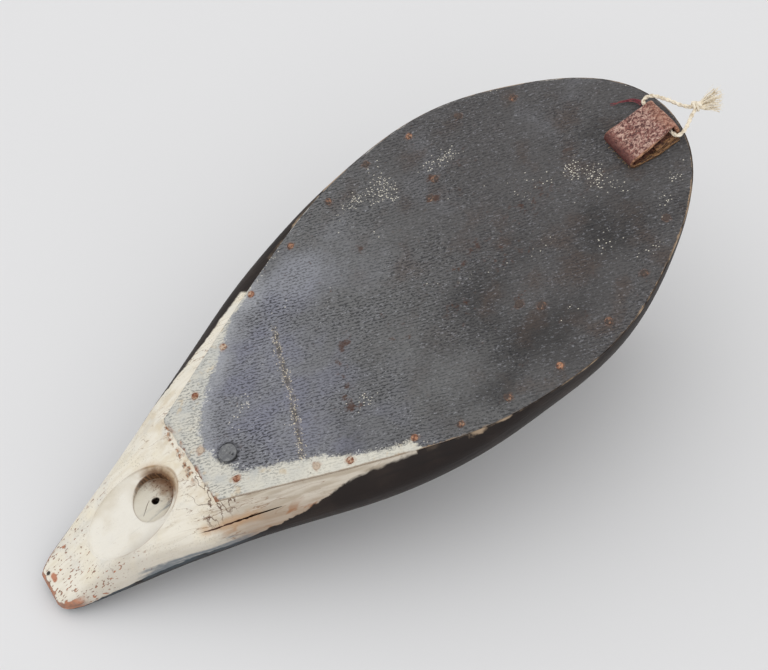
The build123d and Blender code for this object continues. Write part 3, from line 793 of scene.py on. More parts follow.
def tail_wear(f, x, y):
    """Chips and rubbed edges where wood shows through the white of the tail."""
    edge = f.course(x, TAIL_SIDES) - abs(y)
    blotches = f.cloud(6, seed=1).rise(0.4, 0.68, -0.045, 0.05)
    towards_edge = edge.rise(7, 1.5) * x.rise(-58, -84) * 0.06
    dashes = f.cloud(1.4, 3, (1.9, 0.75, 0.8)) + x.rise(-52, -90) * 0.055 + blotches + towards_edge
    frayed = f.stray(5, 3, 4, seed=2)
    rubbed_side = (edge + frayed).rise(2.9, 2.2) * x.rise(-82, -92)
    rubbed = f.most(rubbed_side, (x + frayed).rise(-97.6, -98.2))
    return f.most(dashes.rise(0.655, 0.685) * x.rise(-30, -60), rubbed)


def pocket_shade(f, cream, z):
    """Bare wood, dirt, tool marks and painted shade of the round pocket and its pilot hole."""
    hollow = f.reach(POCKET, FROM_ABOVE)
    dirt = f.stray(1, 3, 4, seed=3)
    # towards the breast, roughened by the dirt noise: the side where painted shade and dirt lie
    breast_side = f.along((0.93, -0.36, 0), POCKET) + dirt * 8
    slope = hollow.rise(POCKET_RADIUS + 8, POCKET_RADIUS + 1) * z.rise(1, 4)
    lip = (hollow + dirt * 3).rise(POCKET_RADIUS + 4, POCKET_RADIUS + 1) * breast_side.rise(3, 11)
    upright = z.rise(2, 4) * z.rise(POCKET_FLOOR - 0.1, POCKET_FLOOR - 0.8)
    wall = hollow.rise(POCKET_RADIUS - 0.9, POCKET_RADIUS - 0.2) * upright
    wall = wall * hollow.rise(POCKET_RADIUS + 1, POCKET_RADIUS + 0.2)
    brown = f.mix(f.cloud(1.2, 2, (1, 1, 8), seed=4).rise(0.4, 0.6), tone(74, 50, 34), tone(124, 90, 60))
    floor = hollow.rise(POCKET_RADIUS, POCKET_RADIUS - 0.5)
    rim = hollow.hump(POCKET_RADIUS, 0.45) * z.rise(POCKET_FLOOR - 1.2, POCKET_FLOOR - 0.2)
    hair = abs(f.along((0.64, 0.77, 0), (-33, 0, 0)) + dirt * 2).rise(0.3, 0.1)
    hair = hair * abs(f.along((0.77, -0.64, 0), (-34.2, -1, 0))).rise(5, 3.6)
    pilot = (hollow + dirt * 1.2).rise(PILOT_RADIUS + 0.5, PILOT_RADIUS - 0.1)
    return f.layers(
        cream,
        # painted shade: brown on the breast side of the slope and lip round the pocket
        (slope * breast_side.rise(2, 13) * 0.75, 190, 158, 118),
        (lip * 0.85, 104, 72, 48),
        # bare wood of the wall, darkened with painted shade towards the breast side
        (wall * breast_side.rise(-9, 5, 0.1, 0.95), brown),
        (floor * 0.5, 198, 190, 170),
        # dirt and painted shade on the breast side of the floor
        (floor * breast_side.rise(1, 12) * 0.85, 132, 94, 66),
        (f.cloud(1.6, seed=5).rise(0.56, 0.64) * floor * breast_side.rise(-2, 8) * 0.8, 96, 60, 42),
        (rim * 0.5, 140, 118, 94),
        (hair * floor * 0.85, 92, 70, 56),
        # painted shade: the pilot hole darkened nearly black
        (pilot * z.rise(POCKET_FLOOR - 0.6, POCKET_FLOOR - 0.2), 40, 22, 14),
    )


def tail_cream(f, x, y, z, grain, scoop):
    """Old white paint of the tail, smooth in the scoop, streaked and stained round the bilge, darkened with
    painted shade on its port side and round the bilge.
    """
    smooth = f.mix(f.cloud(20, seed=7).rise(0.4, 0.66), tone(238, 234, 224), tone(220, 212, 196))
    brink = f.reach(*SCOOP).hump(0.99, 0.035) * f.cloud(9, seed=19).rise(0.36, 0.56, 0.15, 0.8)
    # bilge: where brown stains and painted shade lie on the port bilge
    bilge = z.rise(1.5, 6) * x.rise(-12, 8) * y.rise(0, 12)
    streaks = f.cloud(7, 4, (4, 1, 1), BILGE_TURN, 14)
    shade = (y + (streaks - 0.5) * 24).rise(26, 38) * x.rise(-20, 10)
    shaded_flank = (z + (streaks - 0.5) * 8).rise(5, 12) * y.rise(10, 20)
    lines = f.cloud(4, 4, (7, 1, 1), BILGE_TURN, 17).hump(0.5, 0.016) * x.rise(-40, -8)
    return f.layers(
        rgb(settings().hull.cream),
        (grain.rise(0.42, 0.68) * 0.35, 214, 202, 180),
        (f.cloud(15, seed=4).rise(0.46, 0.7) * 0.3, 234, 222, 190),
        (f.cloud(12, seed=5).rise(0.5, 0.72) * 0.4, 212, 212, 208),
        (f.cloud(0.9, 2).rise(0.56, 0.66) * f.cloud(9, 2, seed=6).rise(0.4, 0.6) * 0.4, 170, 162, 150),
        (scoop * 0.85, smooth),
        (brink * f.along((0.75, 0.66, 0), SCOOP[0]).rise(-12, 8), 164, 138, 112),
        (x.hump(0, 24) * f.cloud(7, seed=8).rise(0.42, 0.64) * 0.4, 206, 186, 152),
        # painted shade on the port side of the tail, low and high, and over the bilge together with its brown
        # stains
        (shade * 0.8, f.mix(grain.rise(0.4, 0.62), tone(192, 182, 168), tone(164, 150, 132))),
        (shaded_flank * 0.6, 186, 178, 166),
        (lines * streaks.rise(0.44, 0.56) * 0.7, 128, 92, 66),
        (bilge * (grain * 0.9 + 0.25), 160, 138, 118),
        (bilge * f.cloud(5, 3, (5, 1, 1), seed=9).rise(0.56, 0.66) * 0.8, 150, 102, 66),
    )


def tail_scars(f, cream, x, y, z, grain, chips, stain, above):
    """Hairlines, flaking, bare wood, primer, a painted-shade spot for a nail hole and smears over the white
    of the tail.
    """
    uneven = grain - 0.5
    hair = f.cloud(7, 4, (1, 2.2, 1), seed=10).hump(0.5, 0.026) * x.hump(1, 13).rise(0, 0.3)
    seam = (x + f.stray(11, 3.5, 4, (1, 2.6, 1), seed=15)).hump(-1.4, 2.6) * y.hump(-8, 26).rise(0, 0.3)
    seam = seam * z.rise(3, 1.5) * f.cloud(3, 4, seed=16).rise(0.44, 0.54)
    flaked = f.mix(f.cloud(1.4, seed=20).rise(0.44, 0.56), tone(98, 66, 48), tone(172, 122, 88))
    bare = f.layers(
        rgb(settings().hull.wood),
        (f.cloud(3).rise(0.36, 0.62), 186, 118, 84),
        (grain.rise(0.46, 0.62) * 0.65, 122, 84, 68),
    )
    primer = (f.reach((-94, -3, 0), (0.8, 1.3, 1e6)) + uneven * 4).rise(2.6, 1.6)
    # painted shade: a near-black spot stands for a nail hole near the tip
    nail_hole = (f.reach(TIP_NAIL_HOLE, FROM_ABOVE) + uneven * 2).rise(1.5, 0.9)
    smear = (above + uneven * 12).rise(4, 0.6) * x.hump(-24, 42).rise(0, 0.4) * y.rise(0, 8)
    tip_strip = (f.course(x, TAIL_SIDES) + y + uneven * 2).rise(1.7, 0.9) * x.hump(-74, 15).rise(0, 0.3)
    return f.layers(
        cream,
        (stain * 0.55, 190, 146, 102),
        (hair * y.hump(22, 22).rise(0, 0.3) * 0.9, 88, 58, 42),
        (seam * 0.95, flaked),
        (chips * 0.9, bare),
        (primer * 0.85, 184, 108, 72),
        (nail_hole * 0.95, 36, 28, 26),
        (smear * 0.85, 98, 108, 118),
        (tip_strip * y.rise(0, -4) * 0.9, 48, 46, 46),
    )


def body_dark(f, x, z, grain, above):
    """Brown-black paint of the body, slate below the white and rubbed along the bottom's edge."""
    tints = settings().hull
    slate = above.rise(-8, -0.4) * x.rise(20, -15) * f.cloud(10, seed=12).rise(0.3, 0.56)
    rubbed = (z + f.stray(4.4, 5, 4, (1.6, 1.6, 1), seed=13)).rise(0.55, -0.15) * x.rise(82, 112)
    return f.layers(
        rgb(tints.dark),
        (f.cloud(22, 4).rise(0.42, 0.7) * 0.6, 52, 42, 37),
        (grain.rise(0.5, 0.72) * 0.4, 24, 21, 21),
        (f.specks(1.6, f.cloud(14, seed=11).rise(0.55, 0.8) * 0.2) * 0.7, 170, 160, 142),
        (slate * 0.85, rgb(tints.slate)),
        (rubbed * f.cloud(26, seed=18).rise(0.44, 0.6, 0.1, 1) * 0.8, 190, 166, 140),
    )


def hull_finish():
    """Cream tail over dark body, with stains, a split, chips, rubbed edges, and painted shade round the port
    bilge and the pocket.
    """
    f = Finish("hull_paint", Specular_IOR_Level=0.2)
    x, y, z = f.axes()
    line = f.course(x, PORT_LINE) * y.rise(-4, 4) + f.course(x, STARBOARD_LINE) * y.rise(4, -4)
    wobble = f.stray(1.6, 9) + f.stray(1.3, 1.6, 3, (2, 1, 1))
    above = line - z + wobble * f.least(abs(line) * 0.22 + 0.35, 1.6)
    scoop = f.reach(*SCOOP).rise(1.04, 0.98)
    white = f.most(above.rise(-0.3, 0.3), scoop)
    straight, turned = [f.cloud(2.6, 4, (9, 1, 1), turn) for turn in (0, BILGE_TURN)]
    grain = straight + (turned - straight) * y.rise(6, 26)
    chips = tail_wear(f, x, y) * scoop.rise(1, 0, 0.12, 1)
    split, stain = crack_masks(f)
    cream = pocket_shade(f, tail_cream(f, x, y, z, grain, scoop), z)
    colour = f.layers(
        body_dark(f, x, z, grain, above),
        (white, tail_scars(f, cream, x, y, z, grain, chips, stain, above)),
        (split, f.mix(x.rise(8, 22), tone(66, 36, 24), tone(112, 66, 38))),
    )
    height = grain * 0.7 + f.cloud(1.2, 2) * 0.25 + white * 0.25 - chips * 0.6
    return f.paint(colour, white.rise(0, 1, 0.55, 0.75), height, 0.0005, 0.8)


def head_finish():
    """Dark head with a greyed bill and a crown rubbed bare where it rests."""
    tints = settings().hull
    f = Finish("head_paint", Specular_IOR_Level=0.25)
    low, high = own_box("head")
    x, _, z = f.axes()
    face = high.x - BILL_LENGTH
    bill = f.mix(f.cloud(5).rise(0.4, 0.7), tone(86, 88, 82), tone(62, 64, 62))
    cheek = x.hump(face - 14, 13) * z.hump(low.z + 17, 11) * f.cloud(9).rise(0.3, 0.55)
    crown = f.along((-math.sin(PITCH), 0, math.cos(PITCH)), FLOATING @ Vector((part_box("head")[0].x, 0, 0)))
    chips = f.cloud(4, 4, (2.5, 1, 1)).rise(0.66, 0.7)
    colour = f.layers(
        rgb(tints.dark),
        (f.cloud(14, 4).rise(0.42, 0.68) * 0.6, 66, 56, 48),
        ((x + f.stray(3, 4, 2)).rise(face - 1, face + 1), bill),
        (cheek * 0.8, 196, 188, 170),
        ((crown + f.stray(2.4, 4)).rise(-1.6, -0.3) * 0.85, rgb(tints.wood)),
        (chips * 0.8, 138, 104, 80),
    )
    height = f.cloud(2.4, 4, (7, 1, 1)) - chips * 0.3
    return f.paint(colour, f.cloud(7, 2).rise(0.3, 0.7, 0.5, 0.7), height, 0.0004, 0.6)


def wood_finish(name, light, dark, size):
    """Bare wood with its grain along the decoy."""
    f = Finish(name, Roughness=0.7)
    rings = f.cloud(size, 4, (12, 1, 1))
    pores = f.cloud(size / 5, 2, (16, 1, 1))
    colour = f.layers(light, (rings.rise(0.35, 0.65), dark), (pores.rise(0.55, 0.7) * 0.5, 92, 66, 44))
    return f.paint(colour, None, rings + pores * 0.5, 0.0003, 0.5)


def metal_finish(name, base, rusty, share):
    """Iron under rust: share is how much of it has rusted."""
    f = Finish(name, Metallic=0.35, Roughness=0.62)
    blot = f.cloud(2.2, 4)
    rust = (blot + f.stray(0.5, 28, 1, seed=2)).rise(0.62 - share * 0.4, 0.78 - share * 0.4)
    colour = f.layers(base, (rust, rusty), (f.cloud(0.9, 2).rise(0.5, 0.7) * 0.5, 70, 40, 30))
    return f.paint(colour, rust.rise(0, 1, 0.5, 0.85), blot, 0.0002, 0.7)


def tack_finish():
    """Tack heads: rusted tan near the tail, dulled by dark paint towards the breast."""
    f = Finish("tack_rust", Roughness=0.8, Specular_IOR_Level=0.25)
    x, _, _ = f.axes()
    blot = f.cloud(1.3)
    uneven = blot - 0.5
    away = f.stray(1, 17, 1, seed=3)
    colour = f.layers(
        f.mix(blot.rise(0.4, 0.6), tone(176, 128, 100), tone(124, 76, 56)),
        (f.cloud(0.8, 2, seed=1).rise(0.58, 0.68) * 0.8, 206, 184, 156),
        ((away * 2.6 + uneven * 2.2).rise(-0.75, 0.1) * x.rise(80, 120, 0.1, 1) * 0.92, 72, 68, 66),
        ((away * 3 + uneven * 2).rise(0.2, -0.5) * x.rise(80, 70) * 0.7, 206, 196, 178),
    )
    return f.paint(colour, blot.rise(0.3, 0.7, 0.65, 0.9), blot, 0.0003, 0.8)


def glass_finish():
    """Amber glass eye with a dark pupil, rubbed a little dull."""
    f = Finish("eye_glass", Roughness=0.12, Coat_Weight=0.6)
    centre = middle(own_box("eye_port"))
    away = f.reach((centre.x, 0, centre.z), (1, 1e6, 1))
    colour = f.layers(tone(176, 112, 28), (away.rise(1.5, 1.2), 14, 10, 8), (away.rise(2.5, 3.1), 60, 36, 16))
    return f.paint(colour, f.cloud(1.2, 2).rise(0.4, 0.7, 0.1, 0.25))


def carved_head_mesh():
    """The CAD head with its bill, skull and neck flowing into each other as a knife leaves them."""
    bm = bmesh.new()
    bm.from_mesh(frame["nodes"]["head"].data)
    bmesh.ops.remove_doubles(bm, verts=bm.verts, dist=1e-5)
    rough = put("carved_head_rough", mesh_from("carved_head", bm))
    remesh = rough.modifiers.new("even", "REMESH")
    remesh.mode = "VOXEL"
    remesh.voxel_size = KNIFE_GRAIN * MM
    made = bpy.data.meshes.new_from_object(rough.evaluated_get(bpy.context.evaluated_depsgraph_get()))
    bpy.data.objects.remove(rough)
    soften_head(made)
    return made


def soften_head(mesh):
    """Smooths what shows and leaves the spigot's hole, the pin's hole and the eye sockets true."""
    low, _ = own_box("head")
    neck = middle(own_box("neck_peg"))
    sockets = [middle(own_box(eye)) for eye in ("eye_port", "eye_starboard")]
    bm = bmesh.new()
    bm.from_mesh(mesh)
    free = []
    for vert in bm.verts:
        p = FLOATING @ vert.co
        on_axis = math.hypot(p.x - neck.x, p.y) < SPIGOT_REACH
        at_eye = min((p - socket).length for socket in sockets) < SOCKET_REACH
        if p.z > low.z + NECK_FACE and vert.co.z > CROWN_FLAT * MM and not on_axis and not at_eye:
            free.append(vert)
    for _ in range(KNIFE_PASSES):
        bmesh.ops.smooth_vert(bm, verts=free, factor=0.5, use_axis_x=True, use_axis_y=True, use_axis_z=True)
    for vert in free:
        vert.co += vert.normal * MM * bumpy(FLOATING @ vert.co, 7, 0.3, 5)
        vert.co.z = max(vert.co.z, 0)
    bm.to_mesh(mesh)
    bm.free()


# ---------------------------------------------------------------- leather loop

LOOP_STEPS = 24
LAP_LENGTH = 15
FOLD_RADIUS = 2.1
LEATHER_SEED = 3
FUZZ_COUNT = 130
FUZZ_RADIUS = 0.00009


def loop_mesh():
    """Strip folded on itself: lower ply flat, rear fold low, front fold high, upper ply sagging."""
    low, high = own_box("anchor_loop")
    sizes = settings().loop
    ply, rear_height, front_height = sizes.ply / MM, sizes.rear / MM, sizes.front / MM
    half = ply / 2
    rear, front = low.x + half, high.x - half
    foot = high.z - half
    rear_top, front_top = foot + ply - rear_height, foot + ply - front_height
    lap = foot - ply
    corners = [(front - 1.2, foot), (rear, foot), (rear, rear_top), (front, front_top), (front, lap),
               (front - LAP_LENGTH, lap + 0.1)]
    width = high.y - low.y
    bm = bmesh.new()
    line = [bm.verts.new((x, low.y, z)) for x, z in corners]
    edges = [bm.edges.new(ends) for ends in zip(line, line[1:])]
    for _ in range(LOOP_STEPS):
        made = bmesh.ops.extrude_edge_only(bm, edges=edges)["geom"]
        verts = only(bmesh.types.BMVert, made)
        bmesh.ops.translate(bm, verts=verts, vec=(0, width / LOOP_STEPS, 0))
        edges = [e for e in only(bmesh.types.BMEdge, made) if all(v in verts for v in e.verts)]
    round_folds(bm, rear, rear_top, front, foot)
    long_edges = [e for e in bm.edges
                  if abs(e.verts[0].co.y - e.verts[1].co.y) < 1e-6 and e.calc_length() > 4]
    bmesh.ops.subdivide_edges(bm, edges=long_edges, cuts=LOOP_STEPS - 1, use_grid_fill=True)
    for vert in bm.verts:
        shape_leather(vert, (low.y + high.y) / 2, width, rear, front, foot, front_top)
    face_outwards(bm)
    for vert in bm.verts:
        vert.co += vert.normal * half
    bmesh.ops.solidify(bm, geom=list(bm.faces), thickness=ply)
    bmesh.ops.recalc_face_normals(bm, faces=bm.faces)
    for vert in bm.verts:
        vert.co += Vector(vert.normal) * (bumpy(vert.co, 2.2, 0.14, 2) + bumpy(vert.co, 0.9, 0.07, 4))
        vert.co.z = min(vert.co.z, high.z)
    return laid_mesh("leather_loop", bm)


def face_outwards(bm):
    """Turns the open strip so that its upper ply faces away from the decoy."""
    bmesh.ops.recalc_face_normals(bm, faces=bm.faces)
    uppermost = min(bm.faces, key=lambda face: face.calc_center_median().z)
    if uppermost.normal.z > 0:
        bmesh.ops.reverse_faces(bm, faces=bm.faces)
    bm.normal_update()


def round_folds(bm, rear, rear_top, front, foot):
    """Turns the strip's sharp corners into folds."""
    folds = []
    for edge in bm.edges:
        a, b = (v.co for v in edge.verts)
        if abs(a.x - b.x) < 1e-6 and abs(a.z - b.z) < 1e-6:
            at_rear = abs(a.x - rear) < 1e-4 and min(abs(a.z - rear_top), abs(a.z - foot)) < 1e-4
            if at_rear or abs(a.x - front) < 1e-4:
                folds.append(edge)
    bmesh.ops.bevel(bm, geom=folds, offset=FOLD_RADIUS, offset_type="OFFSET", segments=6, profile=0.5,
                    affect="EDGES", material=-1, clamp_overlap=True)


def shape_leather(vert, centre, width, rear, front, foot, front_top):
    """Sag, cupped edges and an uneven cut for one point of the strip."""
    x, y, z = vert.co
    across = (y - centre) / (width / 2)
    along = min(max((x - rear) / (front - rear), 0), 1)
    top = min(max((foot - z) / (foot - front_top), 0), 1)
    vert.co.z += top * (0.7 * math.sin(math.pi * along) * (1 - 0.5 * across * across) - 0.3 * across * along)
    vert.co.z += top * along * 0.5 * across ** 4
    vert.co.x += bumpy((0, y, z), 6, 0.4, 8) * (1 if x > front - 2 else 0.3)
    vert.co.y += bumpy((x, 0, z), 7, 0.5, 1 if across > 0 else 6) * across - 1.4 * across * along * top
    vert.co.y += 2.8 * (1 - top) * max(across, 0) * min(along * 2, 1)


def loop_fuzz(rng):
    """Loose fibres along the cut edge of the lower ply and under the rear fold."""
    low, high = own_box("anchor_loop")
    runs = []
    for _ in range(FUZZ_COUNT):
        port = rng.random() < 0.75
        x = rng.uniform(low.x + 5, high.x - 1.5) if port else rng.uniform(low.x - 0.3, low.x + 1)
        y = high.y - 0.1 if port else rng.uniform(low.y + 1, high.y - 1)
        start = Vector((x, y, high.z - rng.uniform(0.2, 1.7)))
        away = Vector((rng.uniform(-0.6, 0.6), 1, 0)) if port else Vector((-1, rng.uniform(-0.5, 0.5), 0))
        tip = start + away * rng.uniform(0.4, 1.2)
        tip += Vector((rng.uniform(-0.5, 0.5), 0, rng.uniform(-0.7, 0.3)))
        tip.z = min(tip.z, high.z - 0.15)
        bend = (start + tip) / 2 + Vector((rng.uniform(-0.3, 0.3), 0, -0.2))
        runs.append([laid(*point) for point in (start, bend, tip)])
    return strands("loop_fuzz", runs, FUZZ_RADIUS, 1, 0.5)


def fuzz_finish():
    """Pale and brown leather fibres."""
    f = Finish("leather_fuzz", Roughness=0.9)
    tint = f.mix(f.cloud(1.5, 2).rise(0.4, 0.6), tone(196, 164, 116), tone(140, 104, 70))
    return f.paint(tint, None, f.cloud(0.5, 2), 0.0001, 0.4)


def leather_finish(name="loop_leather"):
    """Red-brown leather: a pale rubbed net over dark grain, tan at the front fold, fibres on the cuts,
    painted shade darkening the rear fold and the lower ply under the top one.
    """
    tints = settings().loop
    f = Finish(name, Specular_IOR_Level=0.4)
    low, high = own_box("anchor_loop")
    half = (high.y - low.y) / 2
    x, y, z = f.axes()
    net = f.cloud(4.2, curl=1.6).hump(0.5, 0.06)
    fine = f.cloud(1.5, seed=2, curl=0.8)
    worn = f.cloud(6, seed=1)
    top = z.rise(-4.6, -6.4)
    over = x.rise(low.x + 2, low.x + 8)
    front = (x + (worn - 0.5) * 9).rise(high.x - 8, high.x - 2.5)
    fold = x.rise(low.x + 4.5, low.x + 1)
    cut = abs(y - (low.y + high.y) / 2).rise(half - 0.9, half - 0.1)
    hairy = f.cloud(0.8, 3, (3, 1, 1)).rise(0.42, 0.6)
    # fibres of the lower ply's cut edge, darker with painted shade
    shaded_low_fibres = f.mix(hairy, tone(150, 112, 74), tone(70, 46, 32))
    fibres = f.mix(hairy, tone(190, 142, 110), tone(124, 82, 58))
    colour = f.layers(
        rgb(tints.leather),
        (worn.rise(0.35, 0.65) * over * 0.6, 150, 106, 98),
        ((net * 0.7 + fine.rise(0.5, 0.64) * 0.6) * top * over.rise(0, 1, 0.25, 0.95), rgb(tints.worn)),
        (fine.rise(0.48, 0.38) * 0.9, 76, 38, 36),
        (front * top * 0.5, f.mix(fine.rise(0.42, 0.56), tone(150, 98, 76), tone(184, 132, 106))),
        # painted shade: the rear fold darkened
        (fold * 0.75, 86, 44, 40),
        # painted shade: the lower ply and the inside under the top ply darkened
        ((1 - top) * (1 - fold) * 0.75, f.mix(fine.rise(0.4, 0.6), tone(60, 36, 28), tone(118, 78, 54))),
        (cut * 0.9, f.mix(z.rise(-4, -6.5), shaded_low_fibres, fibres)),
    )
    return f.paint(colour, fine.rise(0.3, 0.7, 0.5, 0.74), net * 0.6 + fine * 0.9, 0.0004, 0.9)


# ---------------------------------------------------------------- twine, knot and threads

TWINE_SEED = 7
BREAST = 308
TWINE_ROUTE = (
    (7.2, 11.4, -6.2), (4, 7.8, -7.2), (2, 3.4, -8.2), (-0.6, -2.2, -8.5), (-3.6, -8.4, -7.6),
    (-8.6, -9.6, -6.4), (-9.2, -4, -5.9), (-8.8, 6, -5.7), (-9, 16, -5.9), (-8.6, 21.2, -6.3),
    (-3.6, 20.8, -6.5), (0.8, 18.2, -6.2), (4.6, 15.6, -6), (7.6, 14.4, -6.1),
)
FRAY_TIPS = (
    (331.5, 13.5, -9.5), (331.4, 15, -8), (330, 17, -7), (328.6, 18.8, -6.2), (327.2, 20.4, -5.5),
    (325.4, 22, -5), (329, 13.2, -9.8), (327, 21.2, -4.6), (330.8, 16, -6), (328.2, 16.4, -9),
)
REMNANT = (
    (299.2, -9.6, -2.6), (299.4, -12.5, -2.5), (296.5, -16.6, -2.5), (294.3, -17.4, -2.5), (291.3, -20, -2.4),
    (289.6, -19.8, -2.4), (287.2, -21.4, -2.3),
)
PLY_SHARE = 0.29
KNOT_SHARE = 0.36
KNOT_TURN = math.radians(-30)
KNOT_STEPS = 32
STEPS_A_TURN = 14
# Frayed fibres: how many go to each tip, their radius in metres and their spread in millimetres.
YARNS = (2, 0.00042, 0.9)
WISPS = (7, 0.00013, 2)
HAIR_RADIUS = 0.00007
REMNANT_STRANDS = 7
REMNANT_RADIUS = 0.00028


def from_breast(x, y, z):
    """Where a point lies whose x is counted from the breast edge of the bottom."""
    return laid(BREAST + x, y, z)


def anywhere(rng):
    """Point of a cube round nothing, two across."""
    return Vector([rng.uniform(-1, 1) for _ in range(3)])


def twine_line():
    """Points down the middle of the twine, in metres."""
    mesh = mesh_of(nurbs("twine_route", [[from_breast(*place) for place in TWINE_ROUTE]], 16))
    line = np.array([v.co for v in mesh.vertices], float)
    bpy.data.meshes.remove(mesh)
    return line


def twine_mesh(line):
    """Two plies laid round each other along the line."""
    twine = settings().twine
    ply_radius = twine.diameter * PLY_SHARE
    points, at = evenly(line, 0.0005)
    side, up = side_frames(points)
    runs = []
    for ply in range(2):
        turn = WHOLE_TURN * (at / twine.lay + ply / 2)
        reach = (twine.diameter / 2 - ply_radius) * (1 + 0.12 * np.sin(at * 900 + ply * 2))[:, None]
        runs.append(points + reach * (np.cos(turn)[:, None] * side + np.sin(turn)[:, None] * up))
    return strands("twine_line", runs, ply_radius, 3)


def knot_mesh():
    """Overhand knot drawn tight: the twine wound twice round its own ends."""
    around = []
    for i in range(KNOT_STEPS + 1):
        a = WHOLE_TURN * i / STEPS_A_TURN
        out = 1.75 + 0.25 * math.sin(2 * a)
        around.append((-1.9 + 3.9 * i / KNOT_STEPS, out * math.cos(a), out * math.sin(a)))
    cores = [[(t * 3.3, side * 0.75 * math.cos(t * 2.2), 0.5 * side * math.sin(t * 3))
              for t in (-1.2, -0.8, -0.4, 0, 0.4, 0.8, 1.15)] for side in (-1, 1)]
    crossing = [(-2.2, 1.3, 1.7), (-0.8, 0.6, 2.6), (0.8, -0.5, 2.7), (2.2, -1.4, 1.6)]
    centre, turn = middle(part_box("twine_knot")), Matrix.Rotation(KNOT_TURN, 3, "Z")
    runs = [[centre + turn @ (Vector(p) * MM) for p in run] for run in (around, *cores, crossing)]
    return strands("tight_knot", runs, settings().twine.diameter * KNOT_SHARE, 3)


def fray_mesh(rng, each, radius, spread):
    """Yarns, or finer hairs, that fan out past the knot."""
    start = middle(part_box("twine_knot"))
    runs = []
    for tip in FRAY_TIPS:
        for _ in range(each):
            there = laid(*tip) + anywhere(rng) * spread * MM
            side, curl = anywhere(rng) * 0.9 * MM, anywhere(rng) * 0.6 * MM
            run = []
            for t in (i / 6 for i in range(7)):
                bend = side * math.sin(math.pi * t) + curl * math.sin(2.5 * math.pi * t) * t
                run.append(start.lerp(there, t) + bend)
            runs.append(run)
    return strands("frayed_ends", runs, radius, 1, 0.55)


def hairs_mesh(line, rng):
    """Loose fibres that stand off the twine."""
    points, _ = evenly(line, 0.0014)
    runs = []
    for point in points[2:-2]:
        way = anywhere(rng).normalized() * MM
        start = Vector(point)
        runs.append([start, start + way * 1.4, start + way * 2.2 + Vector((0.6, -0.3, 0.2)) * MM])
    return strands("twine_hairs", runs, HAIR_RADIUS, 1, 0.5)


def remnant_mesh(rng):
    """Strands of the old thread that lie loosely together on the canvas."""
    runs = []
    for _ in range(REMNANT_STRANDS):
        off = Vector((rng.uniform(-1.1, 1.1), rng.uniform(-1.1, 1.1), 0))
        run = []
        for place in REMNANT[:rng.choice((5, 6, 7, 7))]:
            loose = Vector((rng.uniform(-0.5, 0.5), rng.uniform(-0.5, 0.5), rng.uniform(-0.5, 0.1)))
            run.append(laid(*(Vector(place) + off + loose)))
        runs.append(run)
    return strands("thread_remnant", runs, REMNANT_RADIUS, 2, 0.6)


def twine_finish(name, colour, soiled):
    """Fibrous twine or thread with soiled stretches."""
    f = Finish(name, Roughness=0.85)
    fibre = f.cloud(0.7)
    tint = f.layers(colour, (f.cloud(3).rise(0.45, 0.7) * 0.6, soiled), (fibre.rise(0.5, 0.7) * 0.4, soiled))
    return f.paint(tint, None, fibre, 0.0002, 0.6)


# ---------------------------------------------------------------- clout

DRAWN_CORNER = math.atan2(0.9, 0.35)
SHANK_RADIUS = 1.5


def clout_mesh():
    """Flat hammered disc with one drawn-out corner and a rounded edge, on its shank."""
    low, high = own_box("tail_clout")
    centre = (low + high) / 2
    under = -CANVAS_THICKNESS
    thick = low.z - under
    bm = bmesh.new()
    bmesh.ops.create_circle(bm, cap_ends=True, segments=56, radius=(high.x - low.x) / 2)
    for vert in bm.verts:
        away = (math.atan2(vert.co.y, vert.co.x) - DRAWN_CORNER + math.pi) % WHOLE_TURN - math.pi
        vert.co *= 0.93 + 0.1 * math.exp(-(away / 0.3) ** 2) + bumpy(vert.co, 5, 0.04, 3)
    made = bmesh.ops.extrude_face_region(bm, geom=list(bm.faces))["geom"]
    bmesh.ops.translate(bm, verts=only(bmesh.types.BMVert, made), vec=(0, 0, thick))
    rim = list(only(bmesh.types.BMFace, made)[0].edges)
    bmesh.ops.bevel(bm, geom=rim, offset=0.45, offset_type="OFFSET", segments=4, profile=0.5, affect="EDGES",
                    material=-1)
    lid = min(bm.faces, key=lambda face: face.calc_center_median().z)
    for _ in range(3):
        bmesh.ops.inset_region(bm, faces=[lid], thickness=1.3, depth=0)
    for vert in bm.verts:
        if vert.co.z < thick + 0.02:
            vert.co.z += bumpy(vert.co, 3, 0.16, 1)
    bmesh.ops.translate(bm, verts=bm.verts, vec=(centre.x, centre.y, under))
    shank = bmesh.ops.create_cone(bm, cap_ends=True, segments=20, radius1=SHANK_RADIUS, radius2=SHANK_RADIUS,
                                  depth=high.z - under)["verts"]
    bmesh.ops.translate(bm, verts=shank, vec=(centre.x, centre.y, (high.z + under) / 2))
    bmesh.ops.recalc_face_normals(bm, faces=bm.faces)
    return laid_mesh("clout_disc", bm)


def clout_finish():
    """Grey hammered metal, spotted, with painted shade darkening its edge."""
    f = Finish("clout_steel", Metallic=0.25, Roughness=0.6)
    centre = middle(own_box("tail_clout"))
    colour = f.layers(
        f.mix(f.cloud(2, 4).rise(0.4, 0.65), tone(104, 105, 108), tone(130, 131, 132)),
        (f.grains(1.3).rise(0.2, 0.08) * 0.5, 180, 180, 178),
        # painted shade: the disc's edge darkened
        (f.reach((centre.x, centre.y, 0), FROM_ABOVE).rise(4.6, 5.3), 46, 46, 48),
    )
    return f.paint(colour, None, f.cloud(1.4), 0.0003, 0.7)


# ---------------------------------------------------------------- stage

TABLE_HALF = 6
# Lamps: name, place that the light comes from, breadth in degrees, and the setting that holds its strength.
LAMPS = (("window", (-0.28, 0.42, 1.35), 70, "key"), ("room", (0.3, -0.7, 1), 110, "fill"))
LENS = 79.69
SENSOR_WIDTH = 36
CAMERA_PLACE = (-0.21769, -0.47015, 0.79334)
CAMERA_TURN = (36.0094, 3.4720, -31.1063)


